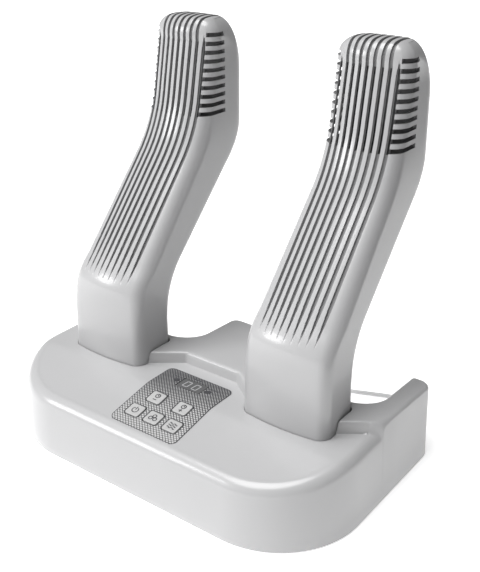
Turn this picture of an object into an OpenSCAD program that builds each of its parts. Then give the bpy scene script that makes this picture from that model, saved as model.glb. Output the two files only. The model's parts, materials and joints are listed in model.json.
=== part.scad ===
// Boot dryer: a blower base with two bent hollow arms, a sloping key panel and a mains lead.
// Millimetres, +Z up. The origin is on the floor, under the centre of the dryer without its lead.

/* [Base] */
// Width of the base
base_w = 322; // [302:1:340]
// Depth of the base
base_d = 187; // [180:1:196]
// Plan radius of the two front corners
front_r = 73; // [60:1:76]
// Wall thickness of the base and arm mouldings
wall = 2.6; // [2.2:0.1:3]
// Height of the base's lower edge above the floor
skirt_z = 0.6; // [0.5:0.1:1]
// Height of the deck at its front edge
deck_front_z = 50; // [48:0.5:52]
// Height of the deck at its crest
deck_crest_z = 60.5; // [60:0.5:62]
// Distance of the crest from the front
crest_y = 58; // [56:1:60]
// Height of the raised ledge at the step
ledge_z = 70; // [69:0.5:71]
// How far the ledge falls towards the rear
ledge_fall = 5; // [4:0.5:6]
// Half width of the tongue between the two rear notches
tongue_hw = 40; // [38:1:42]
// Width of the wing outside each notch
wing_w = 19; // [17:1:21]
// Distance of each notch's floor from the front
notch_y = 123; // [121:1:124]

/* [Arms] */
// Distance between the middle planes of the arms
arm_spacing = 183; // [180:1:186]
// Half width of an arm at its foot
foot_hw = 39; // [38:0.5:40]
// Half width of an arm from its middle up
head_hw = 33.5; // [33:0.5:34]
// Distance of an arm's front face from the front of the base
arm_front_y = 68; // [67:0.5:69]
// Depth of an arm at its foot
foot_depth = 47; // [46:0.5:48]
// Lean of the front face's middle stretch from upright, in degrees
lean = 40; // [39:0.5:41]
// Lean of the rear face's middle stretch from upright, in degrees
back_lean = 45; // [44:0.5:46]
// Lean of the head's front face from upright, in degrees
head_lean = 10; // [9:0.5:11]
// Height of the front bend
bend_z = 128; // [126:1:130]
// Height of the rear bend
back_bend_z = 118; // [116:1:120]
// Height of the front neck, where the head begins
neck_z = 242; // [240:1:244]
// Height of the front face's upper end, where the dome begins
dome_z = 318; // [316:1:320]
// Height of the whole dryer
top_z = 337; // [336:1:340]
// Distance between neighbouring front grooves
groove_pitch = 6.1; // [5.9:0.1:6.2]
// Distance between neighbouring side slots
slot_pitch = 7.33; // [7:0.01:7.4]

/* [Keys] */
// Width of a key cap
key_w = 13; // [12:0.5:13.5]
// Length of a key cap
key_l = 12; // [11:0.5:12.5]
// How far a key travels
key_travel = 0.6; // [0.4:0.1:0.7]

/* [Lead] */
// Diameter of the mains lead
lead_d = 3.6; // [3.4:0.1:3.8]

/* [Hidden] */

shell_white = [0.86, 0.86, 0.86];
arm_x = arm_spacing / 2;
wing_back = 4;                     // how far the wings reach behind the tongue
rear_r = 9;                        // outer rear corner of each wing
wing_r = 5;                        // inner rear corner of each wing
tongue_r = 9;                      // rear corners of the tongue
notch_r = 22;                      // inner corners of each notch
notch_x = base_w / 2 - wing_w;     // outer side of each notch
arc_n = 10;                        // points along an outline arc, less one
deck_tilt = atan((deck_crest_z - deck_front_z) / (crest_y - 4));
step_y = 101;                      // the step's middle stretch
step_hw = 27;                      // half width of the middle stretch
step_arm_y = [82, 87];             // where the step meets an arm's inner and outer side
step_out_y = 117;                  // where the step meets the outer wall
plate_z = 6;                       // underside of the bottom plate
plate_t = 2.5;
manifold_top = 36;                 // the arms stand on it
manifold_z = plate_z + plate_t;
manifold_y = [77, 111];
blower_y = 38;
blower_r = 35;
blower_top = 36;
panel_x = 1.5;                     // the panel sits a little to the right
panel_hw = 33;
panel_y = [12, 88];
overlay_t = 0.5;
key_rows = [-11.4, -30.8];         // distance of the key rows from the crest, down the slope
gap = 0.3;                         // clearance round what moves
display_y = 74.7;
display_size = [23.5, 13];
lamp_spots = [[panel_x - 16.5, 75], [panel_x + 16.5, 75]];
lamp_r = 2.6;
boss_r = 4;
pilot_r = 1.5;                     // hole that a base screw bites into
screw_hole_r = 1.7;
exit_x = 26;                       // where the lead leaves the rear of the tongue
exit_z = 10;
relief_r = 4;                      // hole for the strain relief
shaft_r = 1.5;

// ---- shared geometry ----

function arc(c, r, a0, a1, n = arc_n) =
    [for (i = [0:n]) let (a = a0 + (a1 - a0) * i / n) c + r * [cos(a), sin(a)]];

// Right half of the base's plan outline, moved inward by t, from the front round to the rear
function half_outline(t) = concat(
    arc([base_w / 2 - front_r, front_r], front_r - t, 270, 360, 2 * arc_n),
    arc([base_w / 2 - rear_r, base_d + wing_back - rear_r], rear_r - t, 0, 90, 5),
    arc([notch_x + wing_r, base_d + wing_back - wing_r], wing_r - t, 90, 180, 5),
    arc([notch_x - notch_r, notch_y + notch_r], notch_r + t, 0, -90),
    arc([tongue_hw + notch_r, notch_y + notch_r], notch_r + t, -90, -180),
    arc([tongue_hw - tongue_r, base_d - tongue_r], tongue_r - t, 0, 90, 5));

function flip(pts) = [for (i = [len(pts) - 1:-1:0]) [-pts[i][0], pts[i][1]]];

module plan(t = 0) {
    right = half_outline(t);
    polygon(concat(right, flip(right)));
}

// A side view in y and z, made into a solid of width w across x
module side_extrude(w, pts) {
    rotate([90, 0, 90]) translate([0, 0, -w / 2]) linear_extrude(w) polygon(pts);
}

function deck_z(y) = y < crest_y ? deck_crest_z - (crest_y - y) * tan(deck_tilt) : deck_crest_z;

// Everything under the deck, moved inward by t, with the front edge rounded to radius r
module under_deck(t, r) {
    front = arc([t + r, deck_z(t + r) - t - r * 1.15], r, 180, 110, 6);
    side_extrude(base_w + 20, concat([[t, -9]], front, [[crest_y, deck_crest_z - t],
        [base_d + 15, deck_crest_z - t], [base_d + 15, -9]]));
}

// Everything under the ledge, moved inward by t, with the rear edge rounded to radius r
module under_ledge(t, r) {
    rear_z = ledge_z - ledge_fall - t;
    rear_y = base_d + wing_back - t;
    rear = arc([rear_y - r, rear_z - r], r, 85, 0, 6);
    side_extrude(base_w + 20, concat([[step_y - 50, -9], [step_y - 50, ledge_z - t],
        [step_y, ledge_z - t]], rear, [[rear_y, -9]]));
}

// The raised ledge's plan: straight in the middle, then forward to the arms and back to the walls
module ledge_plan(t = 0) {
    out_x = base_w / 2 + 10;
    right = [[step_hw, step_y + t], [arm_x - foot_hw, step_arm_y[0] + t],
        [arm_x + foot_hw, step_arm_y[1] + t], [out_x, step_out_y + t], [out_x, base_d + 15]];
    polygon(concat(right, flip(right)));
}

// The base as a solid from height z0 up, moved inward by t
module base_solid(t, z0) {
    r = 9 - t;
    intersection() {
        translate([0, 0, z0]) linear_extrude(ledge_z + 9) plan(t);
        union() {
            under_deck(t, r);
            intersection() {
                linear_extrude(ledge_z + 9) ledge_plan(t);
                under_ledge(t, r);
            }
        }
    }
}

module at_panel_slope(x, s) {
    translate([0, crest_y, deck_crest_z]) rotate([deck_tilt, 0, 0]) translate([x, s, 0]) children();
}

module round_rect(w, l, r, h) {
    linear_extrude(h) polygon(concat(
        arc([w / 2 - r, -l / 2 + r], r, -90, 0, 4), arc([w / 2 - r, l / 2 - r], r, 0, 90, 4),
        arc([-w / 2 + r, l / 2 - r], r, 90, 180, 4), arc([-w / 2 + r, -l / 2 + r], r, 180, 270, 4)));
}

key_spots = [[-13.4, 0], [13.4, 0], [-19, 1], [0, 1], [19, 1]];

module at_key(i) {
    at_panel_slope(panel_x + key_spots[i][0], key_rows[key_spots[i][1]]) children();
}

// ---- arms ----

// Points of an arc of radius r that rounds the corner v of a line in the y, z plane,
// while the line's tilt from upright changes from t1 to t2
function bend(v, t1, t2, r, n) = let (
    s = sign(t2 - t1), tl = r * tan(abs(t2 - t1) / 2),
    p = v - tl * [sin(t1), cos(t1)], c = p + s * r * [cos(t1), -sin(t1)])
    [for (i = [0:n]) let (t = t1 + (t2 - t1) * i / n) c - s * r * [cos(t), -sin(t)]];

neck_y = arm_front_y + (neck_z - bend_z) * tan(lean);
back_foot_y = arm_front_y + foot_depth;
head_back_y = 224;                 // the head's rear face is upright
back_neck_z = back_bend_z + (head_back_y - back_foot_y) / tan(back_lean);
dome_front = [neck_y + (dome_z - neck_z) * tan(head_lean), dome_z];
dome_back = [head_back_y, dome_z - 26];
dome_top = [199, top_z];

front_line = concat([[arm_front_y, manifold_top]],
    bend([arm_front_y, bend_z], 0, lean, 30, 5), bend([neck_y, neck_z], lean, head_lean, 110, 5),
    [dome_front]);
back_line = concat([[back_foot_y, manifold_top]],
    bend([back_foot_y, back_bend_z], 0, back_lean, 70, 5),
    bend([head_back_y, back_neck_z], back_lean, 0, 45, 5), [dome_back]);
slot_back_y = 198;                 // rear ends of the side slots
dome_steps = [0.25, 0.48, 0.68, 0.84, 0.95, 1];
bow_r = 72;                        // plan radius of the bowed front face
foot_bow_r = 190;                  // and of its foot, which is flatter

function width_at(z) = z < bend_z ? foot_hw - (z - manifold_top) * 0.02
    : z > neck_z ? head_hw
    : head_hw + (foot_hw - 1.9 - head_hw) * (neck_z - z) / (neck_z - bend_z);

// How far the bowed front face lies behind its middle line, at x from the middle
function bow(x, z) = x * x / 2 * lookup(z, [[bend_z - 25, 1 / foot_bow_r], [bend_z + 15, 1 / bow_r]]);

// Each station is [front point, rear point, half width]
stations = concat(
    [for (i = [0:len(front_line) - 1]) [front_line[i], back_line[i],
        width_at((front_line[i][1] + back_line[i][1]) / 2)]],
    [for (h = dome_steps) let (
        q = pow(1 - pow(h, 2.2), 1 / 2.2),
        base = (dome_front + dome_back) / 2, m = base + h * (dome_top - base),
        v = [(dome_back - dome_front)[0], (1 - h) * (dome_back - dome_front)[1]] / 2)
        [m - v * (0.3 + 0.7 * q), m + v * (0.3 + 0.7 * q), head_hw * (0.45 + 0.55 * q)]]);

// A rounded section, as [x, share of the way from the front point to the rear point]
function section(hw, d, rf, rb, z) = let (
    ease = min(1, d / 45),
    at = function(x, set) [x, (set + ease * bow(x, z)) / d]) concat(
    [for (i = [0:4]) let (a = 180 + 90 * i / 4) at(-hw + rf + rf * cos(a), rf + rf * sin(a))],
    [for (i = [-1:1]) at(i * (hw - rf) / 2, 0)],
    [for (i = [0:4]) let (a = 270 + 90 * i / 4) at(hw - rf + rf * cos(a), rf + rf * sin(a))],
    [for (i = [0:3]) let (a = 90 * i / 3) [hw - rb + rb * cos(a), 1 - (rb - rb * sin(a)) / d]],
    [for (i = [0:3]) let (a = 90 + 90 * i / 3) [-hw + rb + rb * cos(a), 1 - (rb - rb * sin(a)) / d]]);

// One ring of points round the arm, moved inward by t
function ring(st, t) = let (
    d0 = norm(st[1] - st[0]), u = (st[1] - st[0]) / d0, f = st[0] + t * u,
    d = d0 - 2 * t, hw = st[2] - t,
    rf = max(min(8 - t, d * 0.35, hw * 0.8), 0.5), rb = max(min(8 - t, d * 0.35, hw * 0.8), 0.5))
    [for (p = section(hw, d, rf, rb, st[0][1])) let (q = f + p[1] * d * u) [p[0], q[0], q[1]]];

module loft(rings) {
    n = len(rings[0]);
    m = len(rings);
    polyhedron([for (r = rings) each r], concat(
        [[for (i = [0:n - 1]) i]],
        [for (k = [0:m - 2], i = [0:n - 1]) each [
            [k * n + i, (k + 1) * n + i, (k + 1) * n + (i + 1) % n],
            [k * n + i, (k + 1) * n + (i + 1) % n, k * n + (i + 1) % n]]],
        [[for (i = [n - 1:-1:0]) (m - 1) * n + i]]));
}

module arm_outer() { loft([for (s = stations) ring(s, 0)]); }

module arm_inner() {
    last = len(stations) - 2;
    foot = stations[0];
    low = [foot[0] - [0, 1], foot[1] - [0, 1], foot[2]];
    loft(concat([ring(low, wall)], [for (i = [1:last]) ring(stations[i], wall)]));
}

// A strip that follows the front line between two depths, from station i0 to i1. It stops short of
// both, so that no end of a groove lies in a plane of the arm's own rings.
module front_strip(i0, i1, d0, d1, w) {
    short = 0.2;
    pick = concat([stations[i0] * (1 - short) + stations[i0 + 1] * short],
        [for (i = [i0 + 1:i1 - 1]) stations[i]],
        [stations[i1 - 1] * short + stations[i1] * (1 - short)]);
    along = [for (s = pick) (s[1] - s[0]) / norm(s[1] - s[0])];
    side_extrude(w, concat([for (i = [0:len(pick) - 1]) pick[i][0] + d0 * along[i]],
        [for (i = [len(pick) - 1:-1:0]) pick[i][0] + d1 * along[i]]));
}

module arm_openings() {
    groove_w = 2.6;
    groove_depth = 1.4;
    slot_w = 0.6 * groove_w;
    slot_h = 3.6;
    for (i = [-4:4]) {
        translate([i * groove_pitch, 0, 0]) {
            back = bow(i * groove_pitch, neck_z);
            front_strip(4, abs(i) < 4 ? 16 : 13, -3, groove_depth + back, groove_w);
            front_strip(10, 13, -3, wall + 3 + back, slot_w);
        }
    }
    for (i = [0:9], side = [-1, 1]) {
        z = dome_z + 5 - i * slot_pitch;
        y = neck_y + (z - neck_z) * tan(head_lean) + 2;
        inner = head_hw - wall - 5;
        translate([side > 0 ? inner : -inner - 20, y, z - slot_h / 2])
            cube([20, slot_back_y - y, slot_h]);
    }
}

module back_window(t) {
    pick = [for (i = [4:11]) stations[i]];
    along = [for (s = pick) (s[1] - s[0]) / norm(s[1] - s[0])];
    side_extrude(2 * (head_hw - 10 + t), concat(
        [for (i = [0:len(pick) - 1]) pick[i][1] - (wall + 2) * along[i]],
        [for (i = [len(pick) - 1:-1:0]) pick[i][1] + 3 * along[i]]));
}

module arm_foot_flange() {
    translate([-foot_hw - 7, arm_front_y - 3, manifold_top])
        cube([2 * foot_hw + 14, foot_depth + 5, 2.5]);
}

module arm() {
    color(shell_white) difference() {
        union() {
            arm_outer();
            arm_foot_flange();
        }
        arm_inner();
        arm_openings();
        back_window(0.1);
        for (x = [-1, 1], y = [0, 1]) {
            translate([x * (foot_hw + 3.5), arm_front_y + 9 + y * 30, manifold_top - 1])
                cylinder(h = 5, r = 1.8, $fn = 24);
        }
    }
}

module arm_back() {
    color(shell_white) intersection() {
        difference() {
            arm_outer();
            arm_inner();
        }
        back_window(-0.1);
    }
}

module at_arm(side) { translate([side * arm_x, 0, 0]) children(); }

module arm_hole(side) {
    at_arm(side) translate([0, 0, 30]) linear_extrude(60)
        polygon([for (p = ring([[arm_front_y, 0], [back_foot_y, 0], foot_hw], -gap)) [p[0], p[1]]]);
}

// ---- base mouldings ----

foot_stem_r = 2.5;
foot_spots = [[-120, 40], [120, 40], [-151, 150], [151, 150], [0, 168]];
screw_spots = [[-98, 26], [98, 26], [-151, 120], [151, 120], [-33, 172], [33, 172]];

function ledge_top(y) = ledge_z - ledge_fall * (y - step_y) / (base_d - step_y);

// Height of the shell's inner ceiling
function ceiling_z(p) = (p[1] > step_y + 10 ? ledge_top(p[1]) : deck_z(p[1])) - wall;

module lamp_holes() {
    for (p = lamp_spots) {
        translate([p[0], p[1], deck_crest_z - 6]) cylinder(h = 10, r = lamp_r + 0.2, $fn = 24);
    }
}

module key_holes() {
    for (i = [0:4]) {
        at_key(i) translate([0, 0, -6]) round_rect(key_w + 2 * gap, key_l + 2 * gap, 2, 10);
    }
}

module base_shell() {
    color(shell_white) difference() {
        union() {
            difference() {
                base_solid(0, skirt_z);
                base_solid(wall, skirt_z - 5);
            }
            for (p = screw_spots) {
                translate([p[0], p[1], plate_z + plate_t])
                    cylinder(h = ceiling_z(p) + 0.8 - plate_z - plate_t, r = boss_r, $fn = 32);
            }
        }
        for (p = screw_spots) {
            translate([p[0], p[1], 0]) cylinder(h = 30, r = pilot_r, $fn = 24);
        }
        arm_hole(-1);
        arm_hole(1);
        key_holes();
        translate([panel_x, display_y, deck_crest_z - 6])
            round_rect(display_size[0] + 1.6, display_size[1] + 1.6, 1, 10);
        lamp_holes();
        translate([exit_x, base_d - 5, exit_z]) rotate([-90, 0, 0])
            cylinder(h = 10, r = relief_r, $fn = 32);
    }
}

module bottom_plate() {
    color([0.8, 0.8, 0.8]) translate([0, 0, plate_z]) difference() {
        linear_extrude(plate_t) plan(wall + 0.3);
        translate([0, blower_y, -1]) cylinder(h = 5, r = 26, $fn = 64);
        translate([exit_x - 6, base_d - 8, -1]) cube([12, 10, 5]);
        for (p = screw_spots) {
            translate([p[0], p[1], -1]) cylinder(h = 5, r = screw_hole_r, $fn = 24);
        }
        for (p = foot_spots) {
            translate([p[0], p[1], -1]) cylinder(h = 5, r = foot_stem_r, $fn = 24);
        }
    }
}

module rubber_feet() {
    color([0.15, 0.15, 0.15]) for (p = foot_spots) {
        translate([p[0], p[1], 0]) cylinder(h = plate_z, r = 6, $fn = 32);
        translate([p[0], p[1], plate_z]) cylinder(h = plate_t, r = foot_stem_r, $fn = 24);
    }
}

module base_screws() {
    color("silver") for (p = screw_spots) {
        translate([p[0], p[1], plate_z - 1.8]) difference() {
            cylinder(h = 1.8, r = 3, $fn = 32);
            for (a = [0, 90]) {
                rotate(a) translate([-1.6, -0.35, -1]) cube([3.2, 0.7, 1.8]);
            }
        }
        translate([p[0], p[1], plate_z]) cylinder(h = 12, r = pilot_r - 0.05, $fn = 24);
    }
}

module intake_grille() {
    color([0.75, 0.75, 0.75]) translate([0, blower_y, plate_z]) {
        difference() {
            cylinder(h = plate_t, r = 25.8, $fn = 64);
            for (i = [-4:4]) {
                len = 2 * sqrt(pow(23, 2) - pow(i * 5, 2));
                translate([-len / 2, i * 5 - 1.4, -1]) cube([len, 2.8, 5]);
            }
        }
    }
}

module dust_filter() {
    color([0.25, 0.25, 0.27]) translate([0, blower_y, plate_z + plate_t])
        cylinder(h = 1.5, r = 25, $fn = 48);
}

// ---- panel, keys and electronics ----

module panel_band(lift, t) {
    side_extrude(base_w, [[0, deck_z(0) + lift], [crest_y, deck_crest_z + lift],
        [base_d, deck_crest_z + lift], [base_d, deck_crest_z + lift + t],
        [crest_y, deck_crest_z + lift + t], [0, deck_z(0) + lift + t]]);
}

module panel_outline(t) {
    translate([panel_x, (panel_y[0] + panel_y[1]) / 2, 0])
        round_rect(2 * (panel_hw - t), panel_y[1] - panel_y[0] - 2 * t, 5, 90);
}

module panel_overlay() {
    color([0.45, 0.45, 0.45]) difference() {
        intersection() {
            panel_band(0, overlay_t);
            panel_outline(0);
        }
        key_holes();
        lamp_holes();
        translate([panel_x, display_y, deck_crest_z - 6])
            round_rect(display_size[0] + 0.2, display_size[1] + 0.2, 1, 10);
    }
}

module display_window() {
    color([0.2, 0.2, 0.22]) translate([panel_x, display_y, deck_crest_z - 0.7])
        round_rect(display_size[0], display_size[1], 0.9, 1.2);
}

module display_module() {
    color([0.1, 0.1, 0.1]) {
        translate([panel_x - 11.5, display_y - 6, deck_crest_z - 8]) cube([23, 12, 7]);
        translate([panel_x - 26, display_y - 9, deck_crest_z - 10]) cube([52, 17, 2]);
    }
}

module indicator_lamps() {
    color([0.3, 0.3, 0.3]) for (p = lamp_spots) {
        translate([p[0], p[1], deck_crest_z - 8]) cylinder(h = 8.3, r = lamp_r, $fn = 32);
    }
}

module keypad_board() {
    color([0.1, 0.35, 0.15]) {
        at_panel_slope(panel_x, -21) translate([-29, -18, -11.6]) cube([58, 36, 1.6]);
        for (i = [0:4]) {
            at_key(i) translate([-3, -3, -10]) cube([6, 6, 4]);
            at_key(i) translate([0, 0, -6]) cylinder(h = 0.7, r = 1.7, $fn = 24);
        }
    }
}

module key(i) {
    color([0.88, 0.88, 0.88]) at_key(i) {
        translate([0, 0, -3]) round_rect(key_w, key_l, 1.8, 4.2);
        translate([0, 0, -4.4]) round_rect(key_w + 2.4, key_l + 2.4, 1.8, 1.2);
        translate([0, 0, -4.5]) cylinder(h = 2, r = 2, $fn = 24);
    }
}

module main_board() {
    color([0.1, 0.3, 0.15]) {
        translate([48, 14, plate_z + plate_t + 4]) cube([44, 52, 1.6]);
        translate([53, 20, plate_z + plate_t + 5.6]) cube([20, 18, 14]);
        translate([76, 22, plate_z + plate_t + 5.6]) cube([13, 12, 10]);
        translate([80, 50, plate_z + plate_t + 5.6]) cylinder(h = 16, r = 5, $fn = 32);
        for (x = [52, 88], y = [18, 62]) {
            translate([x, y, plate_z + plate_t]) cylinder(h = 4, r = 2.5, $fn = 24);
        }
    }
}

// ---- air path ----

duct_x = [-31, -9];

module blower_housing() {
    z0 = plate_z + plate_t + 1.5;
    color([0.3, 0.3, 0.32]) difference() {
        union() {
            translate([0, blower_y, z0]) cylinder(h = blower_top - 2 - z0, r = blower_r, $fn = 96);
            translate([duct_x[0] - 2, blower_y, z0])
                cube([duct_x[1] - duct_x[0] + 4, manifold_y[0] - blower_y, blower_top - 2 - z0]);
        }
        translate([0, blower_y, z0 + 2]) cylinder(h = 40, r = blower_r - 2, $fn = 96);
        translate([duct_x[0], blower_y, z0 + 2])
            cube([duct_x[1] - duct_x[0], 60, 40]);
        translate([0, blower_y, z0 - 1]) cylinder(h = 5, r = 22, $fn = 64);
    }
}

module blower_lid() {
    color([0.32, 0.32, 0.34]) translate([0, 0, blower_top - 2]) difference() {
        union() {
            translate([0, blower_y, 0]) cylinder(h = 2, r = blower_r, $fn = 96);
            translate([duct_x[0] - 2, blower_y, 0])
                cube([duct_x[1] - duct_x[0] + 4, manifold_y[0] - blower_y, 2]);
        }
        translate([0, blower_y, -1]) cylinder(h = 5, r = 4, $fn = 32);
    }
}

impeller_z = 14;
impeller_r = 28;
blade_n = 28;

module impeller_ring() {
    difference() {
        cylinder(h = 1.5, r = impeller_r, $fn = 64);
        translate([0, 0, -1]) cylinder(h = 4, r = impeller_r - 7, $fn = 64);
    }
}

module impeller() {
    color([0.15, 0.15, 0.15]) translate([0, blower_y, impeller_z]) {
        difference() {
            union() {
                translate([0, 0, 7]) cylinder(h = 1.5, r = 27, $fn = 64);
                cylinder(h = 8.5, r = 4, $fn = 32);
            }
            translate([0, 0, -1]) cylinder(h = 12, r = shaft_r + 0.05, $fn = 32);
        }
        impeller_ring();
        for (i = [0:blade_n - 1]) {
            rotate(i * 360 / blade_n) translate([21.5, -0.4, 0.5]) rotate(-12) cube([5.2, 0.8, 15]);
        }
        translate([0, 0, 14.5]) impeller_ring();
    }
}

module motor() {
    color("silver") translate([0, blower_y, 0]) {
        translate([0, 0, impeller_z + 9.2]) cylinder(h = 34 - impeller_z - 9.2, r = 17, $fn = 64);
        translate([0, 0, 34]) cylinder(h = 3, r = 3.9, $fn = 32);
        translate([0, 0, impeller_z + 1]) cylinder(h = 8.2, r = shaft_r, $fn = 32);
    }
}

module air_manifold() {
    h = manifold_top - manifold_z;
    half = arm_x + foot_hw - 4;
    depth = manifold_y[1] - manifold_y[0];
    color([0.7, 0.7, 0.7]) difference() {
        translate([-half, manifold_y[0], manifold_z]) cube([2 * half, depth, h]);
        translate([-half + 2, manifold_y[0] + 2, manifold_z + 2])
            cube([2 * half - 4, depth - 4, h - 4]);
        translate([duct_x[0], manifold_y[0] - 1, manifold_z + 3.5])
            cube([duct_x[1] - duct_x[0], 5, blower_top - 2 - manifold_z - 5.5]);
        for (side = [-1, 1]) {
            translate([side * arm_x - foot_hw + 7, manifold_y[0] + 2, manifold_top - 5])
                cube([2 * foot_hw - 14, depth - 4, 10]);
        }
    }
}

module heater(side) {
    z0 = manifold_z + 2;
    x0 = side > 0 ? 34 : -52;
    color([0.75, 0.72, 0.65]) difference() {
        translate([x0, manifold_y[0] + 2.2, z0]) cube([18, 29.6, 22]);
        for (i = [0:6]) {
            translate([x0 - 1, manifold_y[0] + 4 + i * 3.9, z0 + 2]) cube([20, 2.6, 18]);
        }
    }
}

module thermal_cutout() {
    color("silver") for (side = [-1, 1]) {
        translate([side * 26, 94, manifold_z + 2]) cylinder(h = 6, r = 4, $fn = 32);
    }
}

module ozone_cell() {
    color([0.85, 0.85, 0.8]) {
        translate([-100, 30, plate_z + plate_t]) cube([36, 24, 16]);
        translate([-90, 54, plate_z + plate_t + 6]) cube([10, manifold_y[0] - 54, 6]);
    }
}

module wire(a, b, r) {
    translate(a) rotate([0, 0, atan2(b[1] - a[1], b[0] - a[0])]) rotate([0, 90, 0])
        cylinder(h = norm(b - a), r = r, $fn = 16);
}

module inner_wiring() {
    z = plate_z + plate_t + 2;
    color([0.6, 0.1, 0.1]) {
        wire([36, 62, z], [46, 62, z], 1);
        wire([36, 66, z], [46, 66, z], 1);
    }
    color([0.1, 0.1, 0.1]) {
        wire([-62, 34, z], [-38, 34, z], 1);
        wire([-62, 38, z], [-38, 38, z], 1);
    }
}

module arm_screws() {
    color("silver") for (side = [-1, 1], x = [-1, 1], y = [0, 1]) {
        translate([side * arm_x + x * (foot_hw + 3.5), arm_front_y + 9 + y * 30, manifold_top + 2.5]) {
            cylinder(h = 1.6, r = 2.8, $fn = 32);
        }
        translate([side * arm_x + x * (foot_hw + 3.5), arm_front_y + 9 + y * 30, manifold_top])
            cylinder(h = 2.5, r = 1.7, $fn = 24);
    }
}

// ---- lead ----

floor_z = lead_d / 2;
coil_c = [5, 251];
coil_turn_r = 21.6;                // mean radius of the coil's turns
coil_cols = 4;
coil_rows = 2;
plug_x = -47;
plug_y = 207;

// The lead's way over the floor from the strain relief to the coil
cord_route = [[26, 206, 10], [26, 209, 9.8], [27.5, 213.5, 9], [31.5, 217.5, 8], [38, 219.5, 6.4],
    [46, 219, 4.6], [55, 216.5, 3], [65, 213.5, 2], [78, 210.5, floor_z], [92, 209.5, floor_z],
    [106, 211, floor_z], [118, 215.5, floor_z], [126, 223, floor_z], [128, 232, floor_z],
    [123, 240, floor_z], [114, 244.5, floor_z], [104, 245.5, floor_z], [94, 243.5, floor_z],
    [79, 237.5, floor_z], [64, 231.5, floor_z], [50, 227.8, floor_z], [36, 225.6, floor_z],
    [20, 224.2, floor_z], [5, 224, floor_z]];
// The lead's way from the coil's upper outer turn down to the plug
tail_route = [[5, 224, 5.4], [-4, 223.6, 5.2], [-11, 222, 4.6], [-18, 218.6, 3.6], [-25, 214, 3.2],
    [-32, 209.6, 4.4], [-39, 207.4, 6], [-47, 207, 7]];

function tangent(p, i) = let (a = p[max(i - 1, 0)], b = p[min(i + 1, len(p) - 1)]) (b - a) / norm(b - a);

function tube_ring(c, t, r, n) = let (
    side = cross(t, [0, 0, 1]) / norm(cross(t, [0, 0, 1])), up = cross(side, t))
    [for (i = [0:n - 1]) let (a = 360 * i / n) c + r * (cos(a) * side + sin(a) * up)];

module tube(route, r, n = 8) {
    loft([for (i = [0:len(route) - 1]) tube_ring(route[i], tangent(route, i), r, n)]);
}

module power_cord() { color([0.8, 0.8, 0.8]) tube(cord_route, lead_d / 2); }

module cord_tail() { color([0.8, 0.8, 0.8]) tube(tail_route, lead_d / 2); }

module cord_coil() {
    inner = coil_turn_r - coil_cols * lead_d / 2;
    color([0.8, 0.8, 0.8]) translate([coil_c[0], coil_c[1], 0])
        rotate_extrude($fn = 96) translate([inner, 0])
            square([coil_cols * lead_d, coil_rows * lead_d]);
}

module cord_tie() {
    w = coil_cols * lead_d;
    h = coil_rows * lead_d;
    color([0.2, 0.2, 0.2]) translate([coil_c[0] - 3, coil_c[1] + coil_turn_r - w / 2, 0])
        difference() {
            translate([0, -1.2, 0]) cube([6, w + 2.4, h + 1.2]);
            translate([-1, -0.2, -1]) cube([8, w + 0.4, h + 1]);
        }
}

module cord_clamp() {
    color([0.75, 0.75, 0.75]) translate([exit_x - 8, base_d - 32, plate_z + plate_t]) difference() {
        cube([16, 8, 7]);
        translate([8, -1, 3]) rotate([-90, 0, 0]) cylinder(h = 12, r = 1.9, $fn = 24);
    }
}

module strain_relief() {
    color([0.8, 0.8, 0.8]) translate([exit_x, base_d, exit_z]) rotate([-90, 0, 0]) {
        rotate_extrude($fn = 32) polygon([[0, -4.6], [5, -4.6], [5, -wall - 0.1], [3.8, -wall - 0.1],
            [3.8, 0], [5, 0], [5, 1.6], [3.4, 2.4], [2.3, 19], [0, 19]]);
    }
}

module mains_plug() {
    color([0.82, 0.82, 0.82]) translate([plug_x, plug_y, 7]) rotate([0, 0, 180]) {
        rotate([0, 90, 0]) rotate_extrude($fn = 32) polygon([[0, 0], [2.4, 0], [4.4, 12], [0, 12]]);
        translate([12, 0, 0]) rotate([90, 0, 90]) round_rect(24, 13.4, 6, 23);
    }
    color("silver") for (side = [-1, 1]) {
        translate([plug_x - 35, plug_y + side * 9.3, 7]) rotate([0, -90, 0])
            cylinder(h = 18, r = 2, $fn = 24);
    }
}

// ---- assembly ----

mid_y = max([for (s = stations) s[1][0]]) / 2;
module placed() { translate([0, -mid_y, 0]) children(); }

placed() base_shell();
placed() bottom_plate();
placed() rubber_feet();
placed() base_screws();
placed() intake_grille();
placed() dust_filter();
placed() panel_overlay();
placed() display_window();
placed() display_module();
placed() indicator_lamps();
placed() keypad_board();
placed() key(0);  // key_time_down
placed() key(1);  // key_time_up
placed() key(2);  // key_power
placed() key(3);  // key_ozone
placed() key(4);  // key_drying
placed() main_board();
placed() blower_housing();
placed() blower_lid();
placed() impeller();
placed() motor();
placed() air_manifold();
placed() heater(-1);  // heater_left
placed() heater(1);  // heater_right
placed() thermal_cutout();
placed() ozone_cell();
placed() inner_wiring();
placed() at_arm(-1) arm();  // arm_left
placed() at_arm(1) arm();  // arm_right
placed() at_arm(-1) arm_back();  // arm_back_left
placed() at_arm(1) arm_back();  // arm_back_right
placed() arm_screws();
placed() cord_clamp();
placed() strain_relief();
placed() power_cord();
placed() cord_coil();
placed() cord_tail();
placed() cord_tie();
placed() mains_plug();
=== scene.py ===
import json
from math import asin, cos, pi, radians, sin, sqrt, tan
import bmesh
import bpy
import numpy as np
from mathutils.bvhtree import BVHTree
from mathutils import Matrix, Vector
from mathutils.geometry import delaunay_2d_cdt


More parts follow.
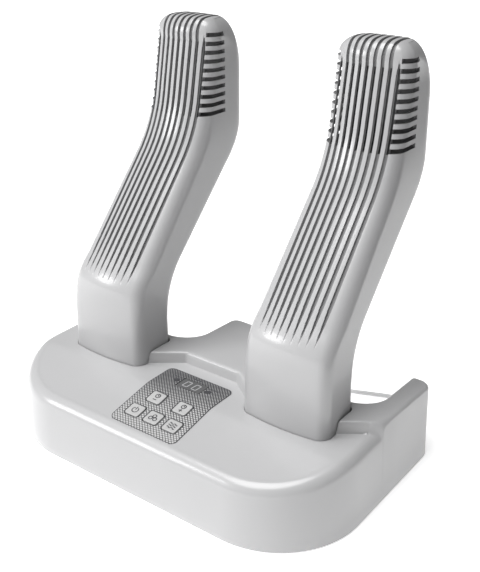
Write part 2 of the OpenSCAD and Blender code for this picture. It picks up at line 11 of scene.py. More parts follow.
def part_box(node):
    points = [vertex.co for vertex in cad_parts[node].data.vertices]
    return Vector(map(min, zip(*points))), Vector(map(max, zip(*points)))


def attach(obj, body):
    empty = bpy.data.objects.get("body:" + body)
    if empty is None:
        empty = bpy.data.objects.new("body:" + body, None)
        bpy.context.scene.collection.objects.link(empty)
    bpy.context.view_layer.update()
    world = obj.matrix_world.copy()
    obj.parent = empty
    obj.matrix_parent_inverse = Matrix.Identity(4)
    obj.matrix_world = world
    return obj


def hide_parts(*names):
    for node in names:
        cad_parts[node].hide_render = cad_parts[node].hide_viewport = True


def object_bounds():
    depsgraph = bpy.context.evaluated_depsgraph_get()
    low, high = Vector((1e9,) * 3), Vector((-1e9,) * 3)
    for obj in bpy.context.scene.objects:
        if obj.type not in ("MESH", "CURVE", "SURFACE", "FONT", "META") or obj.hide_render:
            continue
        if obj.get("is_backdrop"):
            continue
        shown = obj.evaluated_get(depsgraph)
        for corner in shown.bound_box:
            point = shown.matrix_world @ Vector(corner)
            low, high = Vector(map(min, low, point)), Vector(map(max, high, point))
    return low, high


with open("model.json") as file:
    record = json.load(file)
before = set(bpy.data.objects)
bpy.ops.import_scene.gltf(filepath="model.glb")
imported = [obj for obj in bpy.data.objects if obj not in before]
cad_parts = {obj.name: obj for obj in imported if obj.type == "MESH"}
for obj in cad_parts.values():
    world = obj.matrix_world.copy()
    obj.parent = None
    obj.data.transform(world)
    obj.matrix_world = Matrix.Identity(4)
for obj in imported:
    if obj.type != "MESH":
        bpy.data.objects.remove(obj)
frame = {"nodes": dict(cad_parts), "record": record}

# Lengths are in millimetres, with y counted back from the base's front wall. The camera, the stage
# and the lights are in metres, in the row frame.
cad_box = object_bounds()
MM = 0.001
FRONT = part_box("base_shell")[0].y
REAR_Y = (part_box("base_shell")[1].y - FRONT) / MM
HALF_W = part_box("base_shell")[1].x / MM
ARM_X = (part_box("arm_right")[0].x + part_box("arm_right")[1].x) / 2 / MM
TOP_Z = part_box("arm_right")[1].z / MM


def place(points):
    """Points in millimetres, put in the row frame in metres."""
    p = np.asarray(points, float) * MM
    p[..., 1] += FRONT
    return p


def add_object(name, data):
    obj = bpy.data.objects.new(name, data)
    bpy.context.scene.collection.objects.link(obj)
    return obj


# ---- camera ----

def make_camera():
    azimuth, elevation, roll = (radians(a) for a in (36.137, 20.781, 0.241))
    back = Vector((sin(azimuth) * cos(elevation), -cos(azimuth) * cos(elevation), sin(elevation)))
    right = Vector((cos(azimuth), sin(azimuth), 0))
    up = back.cross(right)
    right, up = cos(roll) * right + sin(roll) * up, cos(roll) * up - sin(roll) * right
    data = bpy.data.cameras.new("view")
    data.lens = 58.54
    data.sensor_width = 36
    data.shift_x, data.shift_y = -0.0156, -0.121
    data.clip_start, data.clip_end = 0.05, 60
    camera = add_object("view", data)
    camera.matrix_world = Matrix.Translation((0.4258, -0.5410, 0.4574)) @ Matrix(
        (right, up, back)).transposed().to_4x4()
    bpy.context.scene.camera = camera


# ---- mesh helpers ----

def face_outward(mesh):
    bm = bmesh.new()
    bm.from_mesh(mesh)
    bmesh.ops.recalc_face_normals(bm, faces=bm.faces)
    bm.to_mesh(mesh)
    bm.free()


def add_mesh(name, verts, faces, smooth_angle=40):
    """A closed object from points in millimetres; edges over smooth_angle degrees stay crisp."""
    mesh = bpy.data.meshes.new(name)
    mesh.from_pydata(place(verts).tolist(), [], [tuple(int(i) for i in f) for f in faces])
    mesh.validate()
    face_outward(mesh)
    mesh.shade_smooth()
    mesh.set_sharp_from_angle(angle=radians(smooth_angle))
    return add_object(name, mesh)


def finish_piece(obj, slot, material, *nodes, body="housing"):
    obj.data.materials.clear()
    obj.data.materials.append(material)
    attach(obj, body)
    if nodes:
        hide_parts(*nodes)
    return obj


def arc(cx, cy, r, a0, a1, n):
    a = np.radians(np.linspace(a0, a1, n + 1))
    return np.stack([cx + r * np.cos(a), cy + r * np.sin(a)], 1)


def resample(points, steps, closed=False):
    """Points along a line, at the spacing that steps(point) asks for."""
    pts = np.asarray(points, float)
    if closed:
        pts = np.vstack([pts, pts[:1]])
    out = []
    for a, b in zip(pts[:-1], pts[1:]):
        length = np.linalg.norm(b - a)
        if length < 1e-6:
            continue
        n = max(1, int(round(length / steps((a + b) / 2))))
        out.extend(a + (b - a) * i / n for i in range(n))
    if not closed:
        out.append(pts[-1])
    return np.array(out)


def even(loop, step):
    """A closed loop at one even spacing."""
    return resample(loop, lambda p: step, closed=True)


def normals_2d(loop):
    """Outward normals of a closed anticlockwise loop."""
    t = np.roll(loop, -1, 0) - np.roll(loop, 1, 0)
    t /= np.linalg.norm(t, axis=1)[:, None]
    return np.stack([t[:, 1], -t[:, 0]], 1)


def inside(points, loop):
    """Which points lie inside a closed loop."""
    x, y = points[:, 0][:, None], points[:, 1][:, None]
    ax, ay = loop[:, 0][None], loop[:, 1][None]
    bx, by = np.roll(loop[:, 0], -1)[None], np.roll(loop[:, 1], -1)[None]
    cross = ((ay > y) != (by > y)) & (x < (bx - ax) * (y - ay) / (by - ay + 1e-12) + ax)
    return cross.sum(1) % 2 == 1


def line_distance(points, line):
    """Each point's distance to an open line."""
    best = np.full(len(points), 1e9)
    for a, b in zip(line[:-1], line[1:]):
        d = b - a
        t = np.clip(((points - a) @ d) / max(d @ d, 1e-12), 0, 1)
        best = np.minimum(best, np.linalg.norm(points - a - t[:, None] * d, axis=1))
    return best


def loop_distance(points, loop):
    """Each point's distance to a closed loop."""
    return line_distance(points, np.vstack([loop, loop[:1]]))


RIM_GAP, HOLE_GAP = 0.8, 0.5      # no loose point of a fill lies closer than this to a loop


def fill(outer, holes, extra):
    """Triangles over a plane region with holes. The first points returned are the loops' own."""
    loops = [outer] + holes
    keep = inside(extra, outer) & (loop_distance(extra, outer) > RIM_GAP)
    for h in holes:
        keep &= ~inside(extra, h) & (loop_distance(extra, h) > HOLE_GAP)
    points = np.vstack(loops + [extra[keep]])
    edges, start = [], 0
    for loop in loops:
        n = len(loop)
        edges += [(start + i, start + (i + 1) % n) for i in range(n)]
        start += n
    filled = delaunay_2d_cdt([Vector(p) for p in points], edges, [], 0, 1e-6)
    tris, origins = filled[2:4]
    first = [min(o) if o else 0 for o in origins]
    out_pts = points[first]
    tris = np.array(tris)
    centre = out_pts[tris].mean(1)
    keep = inside(centre, outer)
    for h in holes:
        keep &= ~inside(centre, h)
    return points, np.array(first)[tris[keep]]


def strip(a, b, n, closed=True):
    """Quads between the rings that start at indices a and b, of n points each."""
    m = n if closed else n - 1
    return [(a + i, a + (i + 1) % n, b + (i + 1) % n, b + i) for i in range(m)]


def capped_tube(rings, n):
    """Faces of a closed tube of rings that follow each other, with n points each."""
    faces = [q for k in range(rings - 1) for q in strip(k * n, (k + 1) * n, n)]
    return faces + [tuple(range(n))[::-1], tuple((rings - 1) * n + j for j in range(n))]


def slab(name, outer, holes, top, bottom, spacing=3.0, edge=0.15):
    """A thin closed plate between two height functions, with a small rounded top edge."""
    lo, hi = outer.min(0), outer.max(0)
    gx, gy = np.meshgrid(np.arange(lo[0], hi[0], spacing), np.arange(lo[1], hi[1], spacing))
    loops = [outer] + holes
    inset = [outer - edge * normals_2d(outer)] + [h + edge * normals_2d(h) for h in holes]
    pts, tris = fill(inset[0], inset[1:], np.stack([gx.ravel(), gy.ravel()], 1))
    n = len(pts)
    verts = [np.column_stack([pts, top(pts)]), np.column_stack([pts, bottom(pts)])]
    faces = [tuple(t) for t in tris] + [tuple(t + n) for t in tris]
    start, base = 0, 2 * n
    for loop in loops:
        m = len(loop)
        for z in (top(loop) - edge * 0.9, bottom(loop) + edge * 0.5):
            verts.append(np.column_stack([loop, z]))
        faces += strip(start, base, m) + strip(base, base + m, m) + strip(base + m, n + start, m)
        start += m
        base += 2 * m
    return add_mesh(name, np.vstack(verts), faces)


def rounded_rect(cx, cy, w, l, r, n=5):
    return np.vstack([arc(cx + w / 2 - r, cy - l / 2 + r, r, -90, 0, n),
                      arc(cx + w / 2 - r, cy + l / 2 - r, r, 0, 90, n),
                      arc(cx - w / 2 + r, cy + l / 2 - r, r, 90, 180, n),
                      arc(cx - w / 2 + r, cy - l / 2 + r, r, 180, 270, n)])


# ---- base ----

DECK_TILT = tan(radians(11))
CREST_Y, CREST_Z, STEP_Y, LEDGE_Z, LEDGE_FALL = 58, 60.5, 101, 70, 5
CREST_ROLL = 0.5                    # how softly the slope turns into the level
TOE_RUN, STEEP_RUN, SHOULDER_RUN = 0.3, 1.6, 3.0     # across the step, from its toe to its top
STEEP_SHARE, STEEP_PART = 0.8, 0.75  # how much of the step is steep, in height and in its curve
NOTCH_Y, NOTCH_R, TONGUE_HW, WING_W, FRONT_R, TONGUE_BACK = 123, 22, 40, 21, 73, 4
WING_OUTER_R, WING_INNER_R, TONGUE_R = 12, 5, 9
FOOT_HW, HEAD_HW, ARM_FRONT_Y, ARM_REAR_Y, FOOT_R = 39, 33.5, 68, 115, 8
STEP_LINE = np.array([[0, STEP_Y], [27, STEP_Y], [ARM_X - FOOT_HW, 82], [ARM_X + FOOT_HW, 87],
                      [HALF_W + 14, 119]])
WALL = 2.6
PANEL_X = 1.5
POCKET_Y, POCKET_W, POCKET_L, POCKET_R = 50.5, 61, 67, 4
RIM_R, RIM_R_LOSS = 9, 6            # rounding of the top edge in front, and what it loses rearward
DRAFT, DRAFT_LOSS = 2.3, 1.0        # lean of the side walls, likewise
BOTTOM_EDGE = ((1.0, 0.6), (0.3, 0.75), (0.02, 1.4))    # inset and height of its rings
TOP_GRID = 3.5


def smoothstep(x):
    x = np.clip(x, 0, 1)
    return x * x * (3 - 2 * x)


def deck_z(y):
    """The deck: a slope that rolls over into a level at the crest."""
    d = (y - CREST_Y) * DECK_TILT
    return CREST_Z + (d - np.sqrt(d * d + CREST_ROLL ** 2)) / 2 + CREST_ROLL / 4


def step_distance(p):
    """Distance behind the step line, negative in front of it."""
    q = np.column_stack([np.abs(p[:, 0]), p[:, 1]])
    away = line_distance(q, STEP_LINE)
    return np.where(q[:, 1] > np.interp(q[:, 0], STEP_LINE[:, 0], STEP_LINE[:, 1]), away, -away)


def base_z(p):
    """Height of the base's top over plan points."""
    ledge = LEDGE_Z - LEDGE_FALL * np.clip((p[:, 1] - STEP_Y) / (REAR_Y - STEP_Y), 0, 1)
    d = step_distance(p)
    climb = smoothstep((d + TOE_RUN) / (TOE_RUN + STEEP_RUN) * STEEP_PART) / smoothstep(STEEP_PART)
    short = (1 - (d - STEEP_RUN) / SHOULDER_RUN).clip(0, 1)
    shoulder = STEEP_SHARE + (1 - STEEP_SHARE) * np.sqrt(1 - short ** 2)
    share = np.where(d < STEEP_RUN, STEEP_SHARE * climb, shoulder)
    deck = deck_z(p[:, 1])
    return deck + (ledge - deck) * share


def base_outline():
    """The base's plan: two wings behind, a tongue between them and a notch on each side of it."""
    wing_x, tongue_y = HALF_W - WING_W, REAR_Y - TONGUE_BACK
    half = np.vstack([
        [[0, 0]],
        arc(HALF_W - FRONT_R, FRONT_R, FRONT_R, 270, 360, 60),
        arc(HALF_W - WING_OUTER_R, REAR_Y - WING_OUTER_R, WING_OUTER_R, 0, 90, 14),
        arc(wing_x + WING_INNER_R, REAR_Y - WING_INNER_R, WING_INNER_R, 90, 180, 12),
        arc(wing_x - NOTCH_R, NOTCH_Y + NOTCH_R, NOTCH_R, 0, -90, 24),
        arc(TONGUE_HW + NOTCH_R, NOTCH_Y + NOTCH_R, NOTCH_R, -90, -180, 24),
        arc(TONGUE_HW - TONGUE_R, tongue_y - TONGUE_R, TONGUE_R, 0, 90, 14),
        [[0, tongue_y]]])
    mirrored = half[1:-1][::-1] * [-1, 1]

    def spacing(p):
        meets_step = abs(p[0]) > HALF_W - 11 and STEP_Y - 5 < p[1] < STEP_Y + 31
        return 0.8 if meets_step else 2.4

    return resample(np.vstack([half, mirrored]), spacing, closed=True)


def bow(x, z):
    """How far the bowed front face of an arm lies behind its middle line."""
    return np.asarray(x) ** 2 / 2 * np.interp(z, [103, 143], [1 / 190, 1 / 72])


def arm_section(grow=0.0):
    """Plan outline of an arm's foot, about x = 0."""
    r = FOOT_R + grow
    x, y0, y1 = FOOT_HW + grow - 0.5, ARM_FRONT_Y - grow, ARM_REAR_Y + grow
    loop = np.vstack([arc(x - r, y0 + r, r, 270, 360, 16), arc(x - r, y1 - r, r, 0, 90, 12),
                      arc(-x + r, y1 - r, r, 90, 180, 12), arc(-x + r, y0 + r, r, 180, 270, 16)])
    loop = even(loop, 1.5)
    loop[:, 1] += bow(loop[:, 0], 0) * np.clip((y0 + r + 1 - loop[:, 1]) / 3, 0, 1)
    return loop


def top_points():
    """Loose points for the top's mesh: a grid, with closer rows along the step and the crest."""
    grid = np.stack(np.meshgrid(np.arange(-157, 158, TOP_GRID), np.arange(3, REAR_Y, TOP_GRID)), -1)
    grid = grid.reshape(-1, 2)
    line = resample(STEP_LINE, lambda p: 1.6)
    tangent = np.gradient(line, axis=0)
    tangent /= np.linalg.norm(tangent, axis=1)[:, None]
    across = np.stack([-tangent[:, 1], tangent[:, 0]], 1)
    rows = (-1.6, -0.8, -0.2, 0.4, 1.0, 1.6, 2.2, 2.8, 3.4, 4.4)
    near = np.vstack([line + d * across for d in rows])
    near = near[near[:, 0] >= 0]
    crest = np.vstack([[[x, CREST_Y + dy] for x in np.arange(-156, 157, 4)]
                       for dy in (-5, -2.5, -1, 0, 1, 2.5, 5)])
    far = (np.abs(step_distance(grid)) > 5) & (np.abs(grid[:, 1] - CREST_Y) > 6.5)
    return np.vstack([grid[far], near, near * [-1, 1], crest[np.abs(step_distance(crest)) > 5]])


def make_base(material):
    """The base's shell: its outer rings, its top, an inner skin and the openings' walls."""
    outline = base_outline()
    n = len(outline)
    outward = normals_2d(outline)
    y = outline[:, 1]
    rim = RIM_R - RIM_R_LOSS * smoothstep((y - 100) / 26)
    draft = DRAFT - DRAFT_LOSS * smoothstep((y - 110) / 20)
    at = lambda offset: outline - np.asarray(offset).reshape(-1, 1) * outward

    verts = []
    add_ring = lambda plan, z: verts.append(np.column_stack([plan, np.broadcast_to(z, len(plan))]))
    for inset, wall_foot in BOTTOM_EDGE:
        add_ring(at(inset), wall_foot)
    wall_top = base_z(at(draft)) - rim
    for share in (0.2, 0.45, 0.7, 0.88):
        add_ring(at(draft * share), wall_foot + (wall_top - wall_foot) * share)
    for phi in np.radians(np.linspace(0, 90, 11)):
        plan = at(draft + rim * (1 - cos(phi)))
        add_ring(plan, base_z(plan) - rim * (1 - sin(phi)))
    outer_rings = len(verts)
    faces = []
    for k in range(outer_rings - 1):
        faces += strip(k * n, (k + 1) * n, n)

    # the top, with an opening for each arm and one under the panel
    arm_loops = [arm_section(1.0) + [side * ARM_X, 0] for side in (-1, 1)]
    pocket = rounded_rect(PANEL_X, POCKET_Y, POCKET_W, POCKET_L, POCKET_R)
    hole_loops = arm_loops + [even(pocket, 2.5)]
    plan, tris = fill(at(draft + rim), hole_loops, top_points())
    top = np.column_stack([plan, base_z(plan)])
    first_top = sum(len(v) for v in verts)
    verts.append(top)
    faces += strip((outer_rings - 1) * n, first_top, n)
    faces += [tuple(t + first_top) for t in tris]

    # the inner skin follows the outer one
    first_inner = first_top + len(top)
    verts.append(np.column_stack([plan, top[:, 2] - WALL]))
    faces += [tuple(t + first_inner) for t in tris]
    inner_start = first_inner + len(top)
    inner = [(draft + rim * 0.55 + WALL * 0.45, wall_top + rim * 0.62 - WALL * 0.5),
             (draft + WALL, wall_top - 1), (WALL, 1.6), (WALL - 0.8, 0.6)]
    for offset, z in inner:
        add_ring(at(offset), z)
    faces += strip(first_inner, inner_start, n)
    for k in range(len(inner) - 1):
        faces += strip(inner_start + k * n, inner_start + (k + 1) * n, n)
    faces += strip(inner_start + (len(inner) - 1) * n, 0, n)

    # the openings' walls
    base = inner_start + len(inner) * n
    start = n
    for loop, reach in zip(hole_loops, (0.6, 0.6, 0.3)):
        m = len(loop)
        normal = normals_2d(loop)
        for inward, drop in ((reach * 0.7, 0.18), (reach, 0.6), (reach, 2.0)):
            ring = loop - inward * normal
            verts.append(np.column_stack([ring, base_z(ring) - drop]))
        faces += strip(first_top + start, base, m) + strip(base, base + m, m)
        faces += strip(base + m, base + 2 * m, m) + strip(base + 2 * m, first_inner + start, m)
        start += m
        base += 3 * m
    shell = add_mesh("base_moulding", np.vstack(verts), faces, 50)
    finish_piece(shell, "shell_plastic", material, "base_shell")


# ---- arms ----

BEND_Z, BACK_BEND_Z, NECK_Z, DOME_Z, BACK_Y = 128, 118, 242, 318, 224
LEAN, BACK_LEAN, HEAD_LEAN = 40, 45, 10
DOME_DROP, DOME_TOP_Y, DOME_POWER = 26, 199, 2.2
CORNER_R = 8
ARM_FOOT_Z, CAP_Z = 37, 334.5       # the lowest ring and the last below the crowned cap
HOLLOW_INSET, HOLLOW_DROP = 2.9, 3.0
PITCH, OUTERMOST = 6.1, 4           # of the grooves, numbered from -OUTERMOST to OUTERMOST
GROOVE_START, GROOVE_HW, GROOVE_EDGE, GROOVE_FLOOR, RIB_CROWN = 132, 1.4, 0.2, 2.4, 0.12
SLOT_START, SLOT_END, SLOT_HW = 254, 317, 1.25
WINDOWS, WINDOW_PITCH, WINDOW_HH, WINDOW_REAR_Y = 10, 7.33, 1.8, 198    # in an arm's sides


def bend(corner, t1, t2, r, n):
    """The rounding of a corner in the y, z plane while the line's lean changes from t1 to t2."""
    t1, t2 = radians(t1), radians(t2)
    s = 1 if t2 > t1 else -1
    cut = r * tan(abs(t2 - t1) / 2)
    c = np.array(corner) - cut * np.array([sin(t1), cos(t1)])
    c = c + s * r * np.array([cos(t1), -sin(t1)])
    t = np.linspace(t1, t2, n + 1)
    return c - s * r * np.stack([np.cos(t), -np.sin(t)], 1)


NECK_Y = ARM_FRONT_Y + (NECK_Z - BEND_Z) * tan(radians(LEAN))
BACK_NECK_Z = BACK_BEND_Z + (BACK_Y - ARM_REAR_Y) / tan(radians(BACK_LEAN))
DOME_FRONT = np.array([NECK_Y + (DOME_Z - NECK_Z) * tan(radians(HEAD_LEAN)), DOME_Z])
DOME_BACK = np.array([BACK_Y, DOME_Z - DOME_DROP])
DOME_TOP = np.array([DOME_TOP_Y, TOP_Z])


def dome(h):
    """Front point, rear point and half width of the dome at share h of its height."""
    q = (1 - h ** DOME_POWER) ** (1 / DOME_POWER)
    middle = (DOME_FRONT + DOME_BACK) / 2
    middle = middle + np.outer(h, DOME_TOP - middle)
    chord = DOME_BACK - DOME_FRONT
    reach = np.stack([np.full_like(h, chord[0]), (1 - h) * chord[1]], 1) / 2
    reach = reach * (0.3 + 0.7 * q)[:, None]
    return middle - reach, middle + reach, HEAD_HW * (0.45 + 0.55 * q)


H = 1 - (1 - np.linspace(0, 1, 60)) ** 2
D_FRONT, D_BACK, D_WIDTH = dome(H)
FRONT_LINE = np.vstack([[[ARM_FRONT_Y, 30]], bend([ARM_FRONT_Y, BEND_Z], 0, LEAN, 30, 12),
                        bend([NECK_Y, NECK_Z], LEAN, HEAD_LEAN, 110, 16), D_FRONT])
BACK_LINE = np.vstack([[[ARM_REAR_Y, 30]], bend([ARM_REAR_Y, BACK_BEND_Z], 0, BACK_LEAN, 70, 16),
                       bend([BACK_Y, BACK_NECK_Z], BACK_LEAN, 0, 45, 16), D_BACK])


def width_at(z):
    """Half width of an arm below its dome."""
    foot = FOOT_HW - (z - 36) * 0.02
    middle = HEAD_HW + (FOOT_HW - 1.9 - HEAD_HW) * (NECK_Z - z) / (NECK_Z - BEND_Z)
    return np.where(z < BEND_Z, foot, np.where(z > NECK_Z, HEAD_HW, middle))


def profile(z, inset=0.0):
    """Front y, rear y, and half widths at the front and at the rear, at height z."""
    front = np.interp(z, FRONT_LINE[:, 1], FRONT_LINE[:, 0])
    back = np.interp(z, BACK_LINE[:, 1], BACK_LINE[:, 0])
    slope_f = np.interp(z + 1, FRONT_LINE[:, 1], FRONT_LINE[:, 0]) - front
    slope_b = np.interp(z + 1, BACK_LINE[:, 1], BACK_LINE[:, 0]) - back
    front = front + inset * sqrt(1 + slope_f ** 2)
    back = back - inset * sqrt(1 + min(slope_b, 1) ** 2)
    # a level cut meets a leaning arm's front lower along its length than its rear
    wf = min(width_at(z - 14), np.interp(z, D_FRONT[:, 1], D_WIDTH, left=99)) - inset
    wb = min(width_at(z + 24), np.interp(z, D_BACK[:, 1], D_WIDTH, left=99)) - inset
    return front, back, wf, wb


FIXED, LAST_COLUMN = 20.5, 26.5     # columns inside x = FIXED stay upright over the dome
GROOVES = range(-OUTERMOST, OUTERMOST + 1)
ACROSS_HALF = [0, 0.45, 0.85, 1.15, 1.31, 1.4, 1.49, 1.62, 2.2, 3.05]    # from a groove's middle
SPOTS = sorted({round(k * PITCH + s * h, 3) for k in GROOVES for h in ACROSS_HALF for s in (-1, 1)})
COLUMNS = np.array([x for x in SPOTS if abs(x) <= LAST_COLUMN])
CORNER_N, SIDE_N = 7, 12


def column_x(wide):
    """Columns across a face whose half width is wide, drawn in where the dome narrows."""
    outer = np.abs(COLUMNS) > FIXED
    squeeze = min(1.0, (wide - FIXED) * 0.46 / (COLUMNS.max() - FIXED))
    return np.where(outer, np.sign(COLUMNS) * (FIXED + (np.abs(COLUMNS) - FIXED) * squeeze), COLUMNS)


def face_row(wide, radius, stretch, depth_limit):
    """x and setback of the points across one face, from one corner's end to the other's."""
    r = min(radius, depth_limit, wide * 0.8)
    x = column_x(wide)
    round_off = lambda a: r - np.sqrt(np.maximum(r * r - (a - wide + r) ** 2, 0))
    setback = lambda a: np.where(a > wide - r, round_off(a), 0)
    last = x[-1]
    phi0 = asin(max((last - wide + r) / r, 0)) if last > wide - r else 0
    phi = np.linspace(phi0, pi / 2, CORNER_N + 1)[1:]
    if last <= wide - r:
        phi = np.linspace(0, pi / 2, CORNER_N)
    cx, ce = wide - r + r * np.sin(phi), r - r * np.cos(phi)
    xs = np.concatenate([-cx[::-1], x, cx])
    es = np.concatenate([ce[::-1], setback(np.abs(x)), ce]) * stretch
    return xs, es


def arm_ring(z, inset=0.0):
    """The level ring of an arm at height z, and how many of its points lie on the front."""
    front, back, wf, wb = profile(z, inset)
    # a level cut through a leaning face stretches its corners
    lean_f = np.interp(z, [116, 140, 230, 254], [1, 1.3, 1.3, 1.0])
    lean_b = np.interp(z, [100, 140, 210, 240], [1, 1.38, 1.38, 1.0])
    depth, radius = back - front, max(CORNER_R - inset, 1)
    fx, fe = face_row(wf, radius, lean_f, depth * 0.35 / lean_f)
    fe = fe + bow(fx, z) * min(1, depth / 42)
    bx, be = face_row(wb, radius, lean_b, depth * 0.44 / lean_b)
    n = len(fx)
    pf = np.column_stack([fx, front + fe])
    pb = np.column_stack([bx, back - be])
    s = np.linspace(0, 1, SIDE_N + 1)[1:-1, None]
    right = pf[-1] + s * (pb[-1] - pf[-1])
    left = pb[0] + s * (pf[0] - pb[0])
    ring = np.vstack([pf, right, pb[::-1], left])
    return np.column_stack([ring, np.full(len(ring), z)]), n


def arm_rows(z0, z1):
    """Heights of an arm's rings, closer together where it bends and over the dome."""
    stretches = ((100, 126, 5), (126, 150, 1.6), (150, 170, 4), (170, 232, 9), (232, 262, 3),
                 (262, 288, 5), (288, 318, 2.5), (318, 328, 1.4), (328, z1 - 0.3, 0.75))
    return np.concatenate([[z0, 60, 90], *(np.arange(*s) for s in stretches), [z1]])


def arm_surface(z0, z1, top, inset=0.0):
    """Closed surface of an arm: rings up to z1 and a crowned cap that reaches top."""
    rows = arm_rows(z0, z1)
    rings = []
    for z in rows:
        ring, n = arm_ring(z, inset)
        rings.append(ring)
    m = len(rings[0])
    verts = [np.vstack(rings)]
    faces = []
    for k in range(len(rows) - 1):
        faces += strip(k * m, (k + 1) * m, m)
    faces.append(tuple(range(m))[::-1])
    # the cap: columns run from the front edge to the rear edge
    last = rings[-1]
    front, back = last[:n], last[n + SIDE_N - 1:2 * n + SIDE_N - 1][::-1]
    index = np.zeros((n, SIDE_N + 1), int)
    first = (len(rows) - 1) * m
    index[:, 0] = first + np.arange(n)
    index[:, -1] = first + n + SIDE_N - 1 + np.arange(n)[::-1]
    index[-1, 1:-1] = first + n + np.arange(SIDE_N - 1)
    index[0, 1:-1] = first + 2 * n + SIDE_N - 1 + np.arange(SIDE_N - 1)[::-1]
    cap = []
    base = len(rows) * m
    reach = np.abs(front[:, 0]).max()
    for i in range(1, n - 1):
        for j in range(1, SIDE_N):
            t = j / SIDE_N
            p = front[i] * (1 - t) + back[i] * t
            side = min(1, abs(p[0]) / reach)
            crown = (1 - (2 * t - 1) ** 2) ** 0.6 * (1 - side ** 3) ** 0.6
            index[i, j] = base + len(cap)
            cap.append([p[0], p[1], z1 + (top - z1) * crown])
    verts.append(np.array(cap))
    for i in range(n - 1):
        for j in range(SIDE_N):
            faces.append((index[i, j], index[i + 1, j], index[i + 1, j + 1], index[i, j + 1]))
    return np.vstack(verts), faces


def groove_depth(p, normal):
    """How far each point of the arm is pressed in, from its place and the way it faces."""
    x, z = p[:, 0], p[:, 2]
    k = np.clip(np.round(x / PITCH), -OUTERMOST, OUTERMOST)
    u = np.abs(x - k * PITCH)
    outermost = np.abs(k) == OUTERMOST
    front_side = (normal[:, 1] < 0.25) | ((z > 325) & (normal[:, 2] > 0.3))
    rear = (z > 290) & (normal[:, 1] > 0)
    low = np.clip((z - GROOVE_START) / 26, 0, 1)
    high = np.where(outermost, np.clip((323 - z) / 12, 0, 1), 1)
    grow = np.where(rear, np.clip((z - 300) / 14, 0, 1), np.minimum(low, high))
    grow = np.where(outermost & rear, 0, grow)
    half_width = GROOVE_HW * grow ** 0.8
    floor = smoothstep((half_width - u) / GROOVE_EDGE + 0.5)
    floor = floor * GROOVE_FLOOR * np.minimum(1, grow * 2.2)
    between = np.abs(x) < OUTERMOST * PITCH
    crown = RIB_CROWN * np.clip(1 - 2 * u / PITCH, 0, 1) ** 1.5 * between * grow
    on = (front_side | rear) & (grow > 0) & (np.abs(x) < OUTERMOST * PITCH + 2.2)
    return np.where(on, np.maximum(floor, crown), 0)


def vertex_normals(verts, faces):
    """Normals at the corners of quads; the large end face is left out."""
    out = np.zeros_like(verts)
    for f in faces:
        if len(f) == 4:
            a, b, d, c = verts[list(f)]
            out[list(f)] += np.cross(d - a, c - b)
    return out / np.maximum(np.linalg.norm(out, axis=1), 1e-9)[:, None]


def prisms(stacks):
    """Closed four-sided prisms, each a list of level rectangles given as x0, x1, y0, y1, z."""
    verts, faces = [], []
    for stack in stacks:
        faces += [tuple(len(verts) + i for i in f) for f in capped_tube(len(stack), 4)]
        for x0, x1, y0, y1, z in stack:
            verts += [[x0, y0, z], [x1, y0, z], [x1, y1, z], [x0, y1, z]]
    return verts, faces


def slot_cutter(k):
    """A bent prism that cuts one upright slot in the front."""
    x, before, behind = k * PITCH, 3, 7
    levels = np.linspace(SLOT_START, SLOT_END, 9)
    middle = [profile(z)[0] + bow(x, z) for z in levels]
    return [(x - SLOT_HW, x + SLOT_HW, y - before, y + behind, z) for y, z in zip(middle, levels)]


def side_cutter(i, side):
    """A box that cuts one level window in a side of the head, counted from the top."""
    z = DOME_Z + 5 - i * WINDOW_PITCH
    front = NECK_Y + (z - NECK_Z) * tan(radians(HEAD_LEAN)) + 2
    x0, x1 = sorted((side * (HEAD_HW - WALL - 5), side * (HEAD_HW + 8)))
    return [(x0, x1, front, WINDOW_REAR_Y, z + dz) for dz in (-WINDOW_HH, WINDOW_HH)]


def cut(obj, cutter):
    """Takes the cutter out of the object, and removes the cutter."""
    modifier = obj.modifiers.new("cut", "BOOLEAN")
    modifier.operation, modifier.solver, modifier.object = "DIFFERENCE", "EXACT", cutter
    depsgraph = bpy.context.evaluated_depsgraph_get()
    mesh = bpy.data.meshes.new_from_object(obj.evaluated_get(depsgraph))
    obj.modifiers.clear()
    obj.data = mesh
    bpy.data.objects.remove(cutter)


# the hollow's lining is painted dark as shade inside the arm
LINING_REACH = 0.1                  # cut faces this near the hollow are its lining
GROOVE_REACH = (0.5, 3.5)           # faces this far below the ungrooved skin are groove or slot


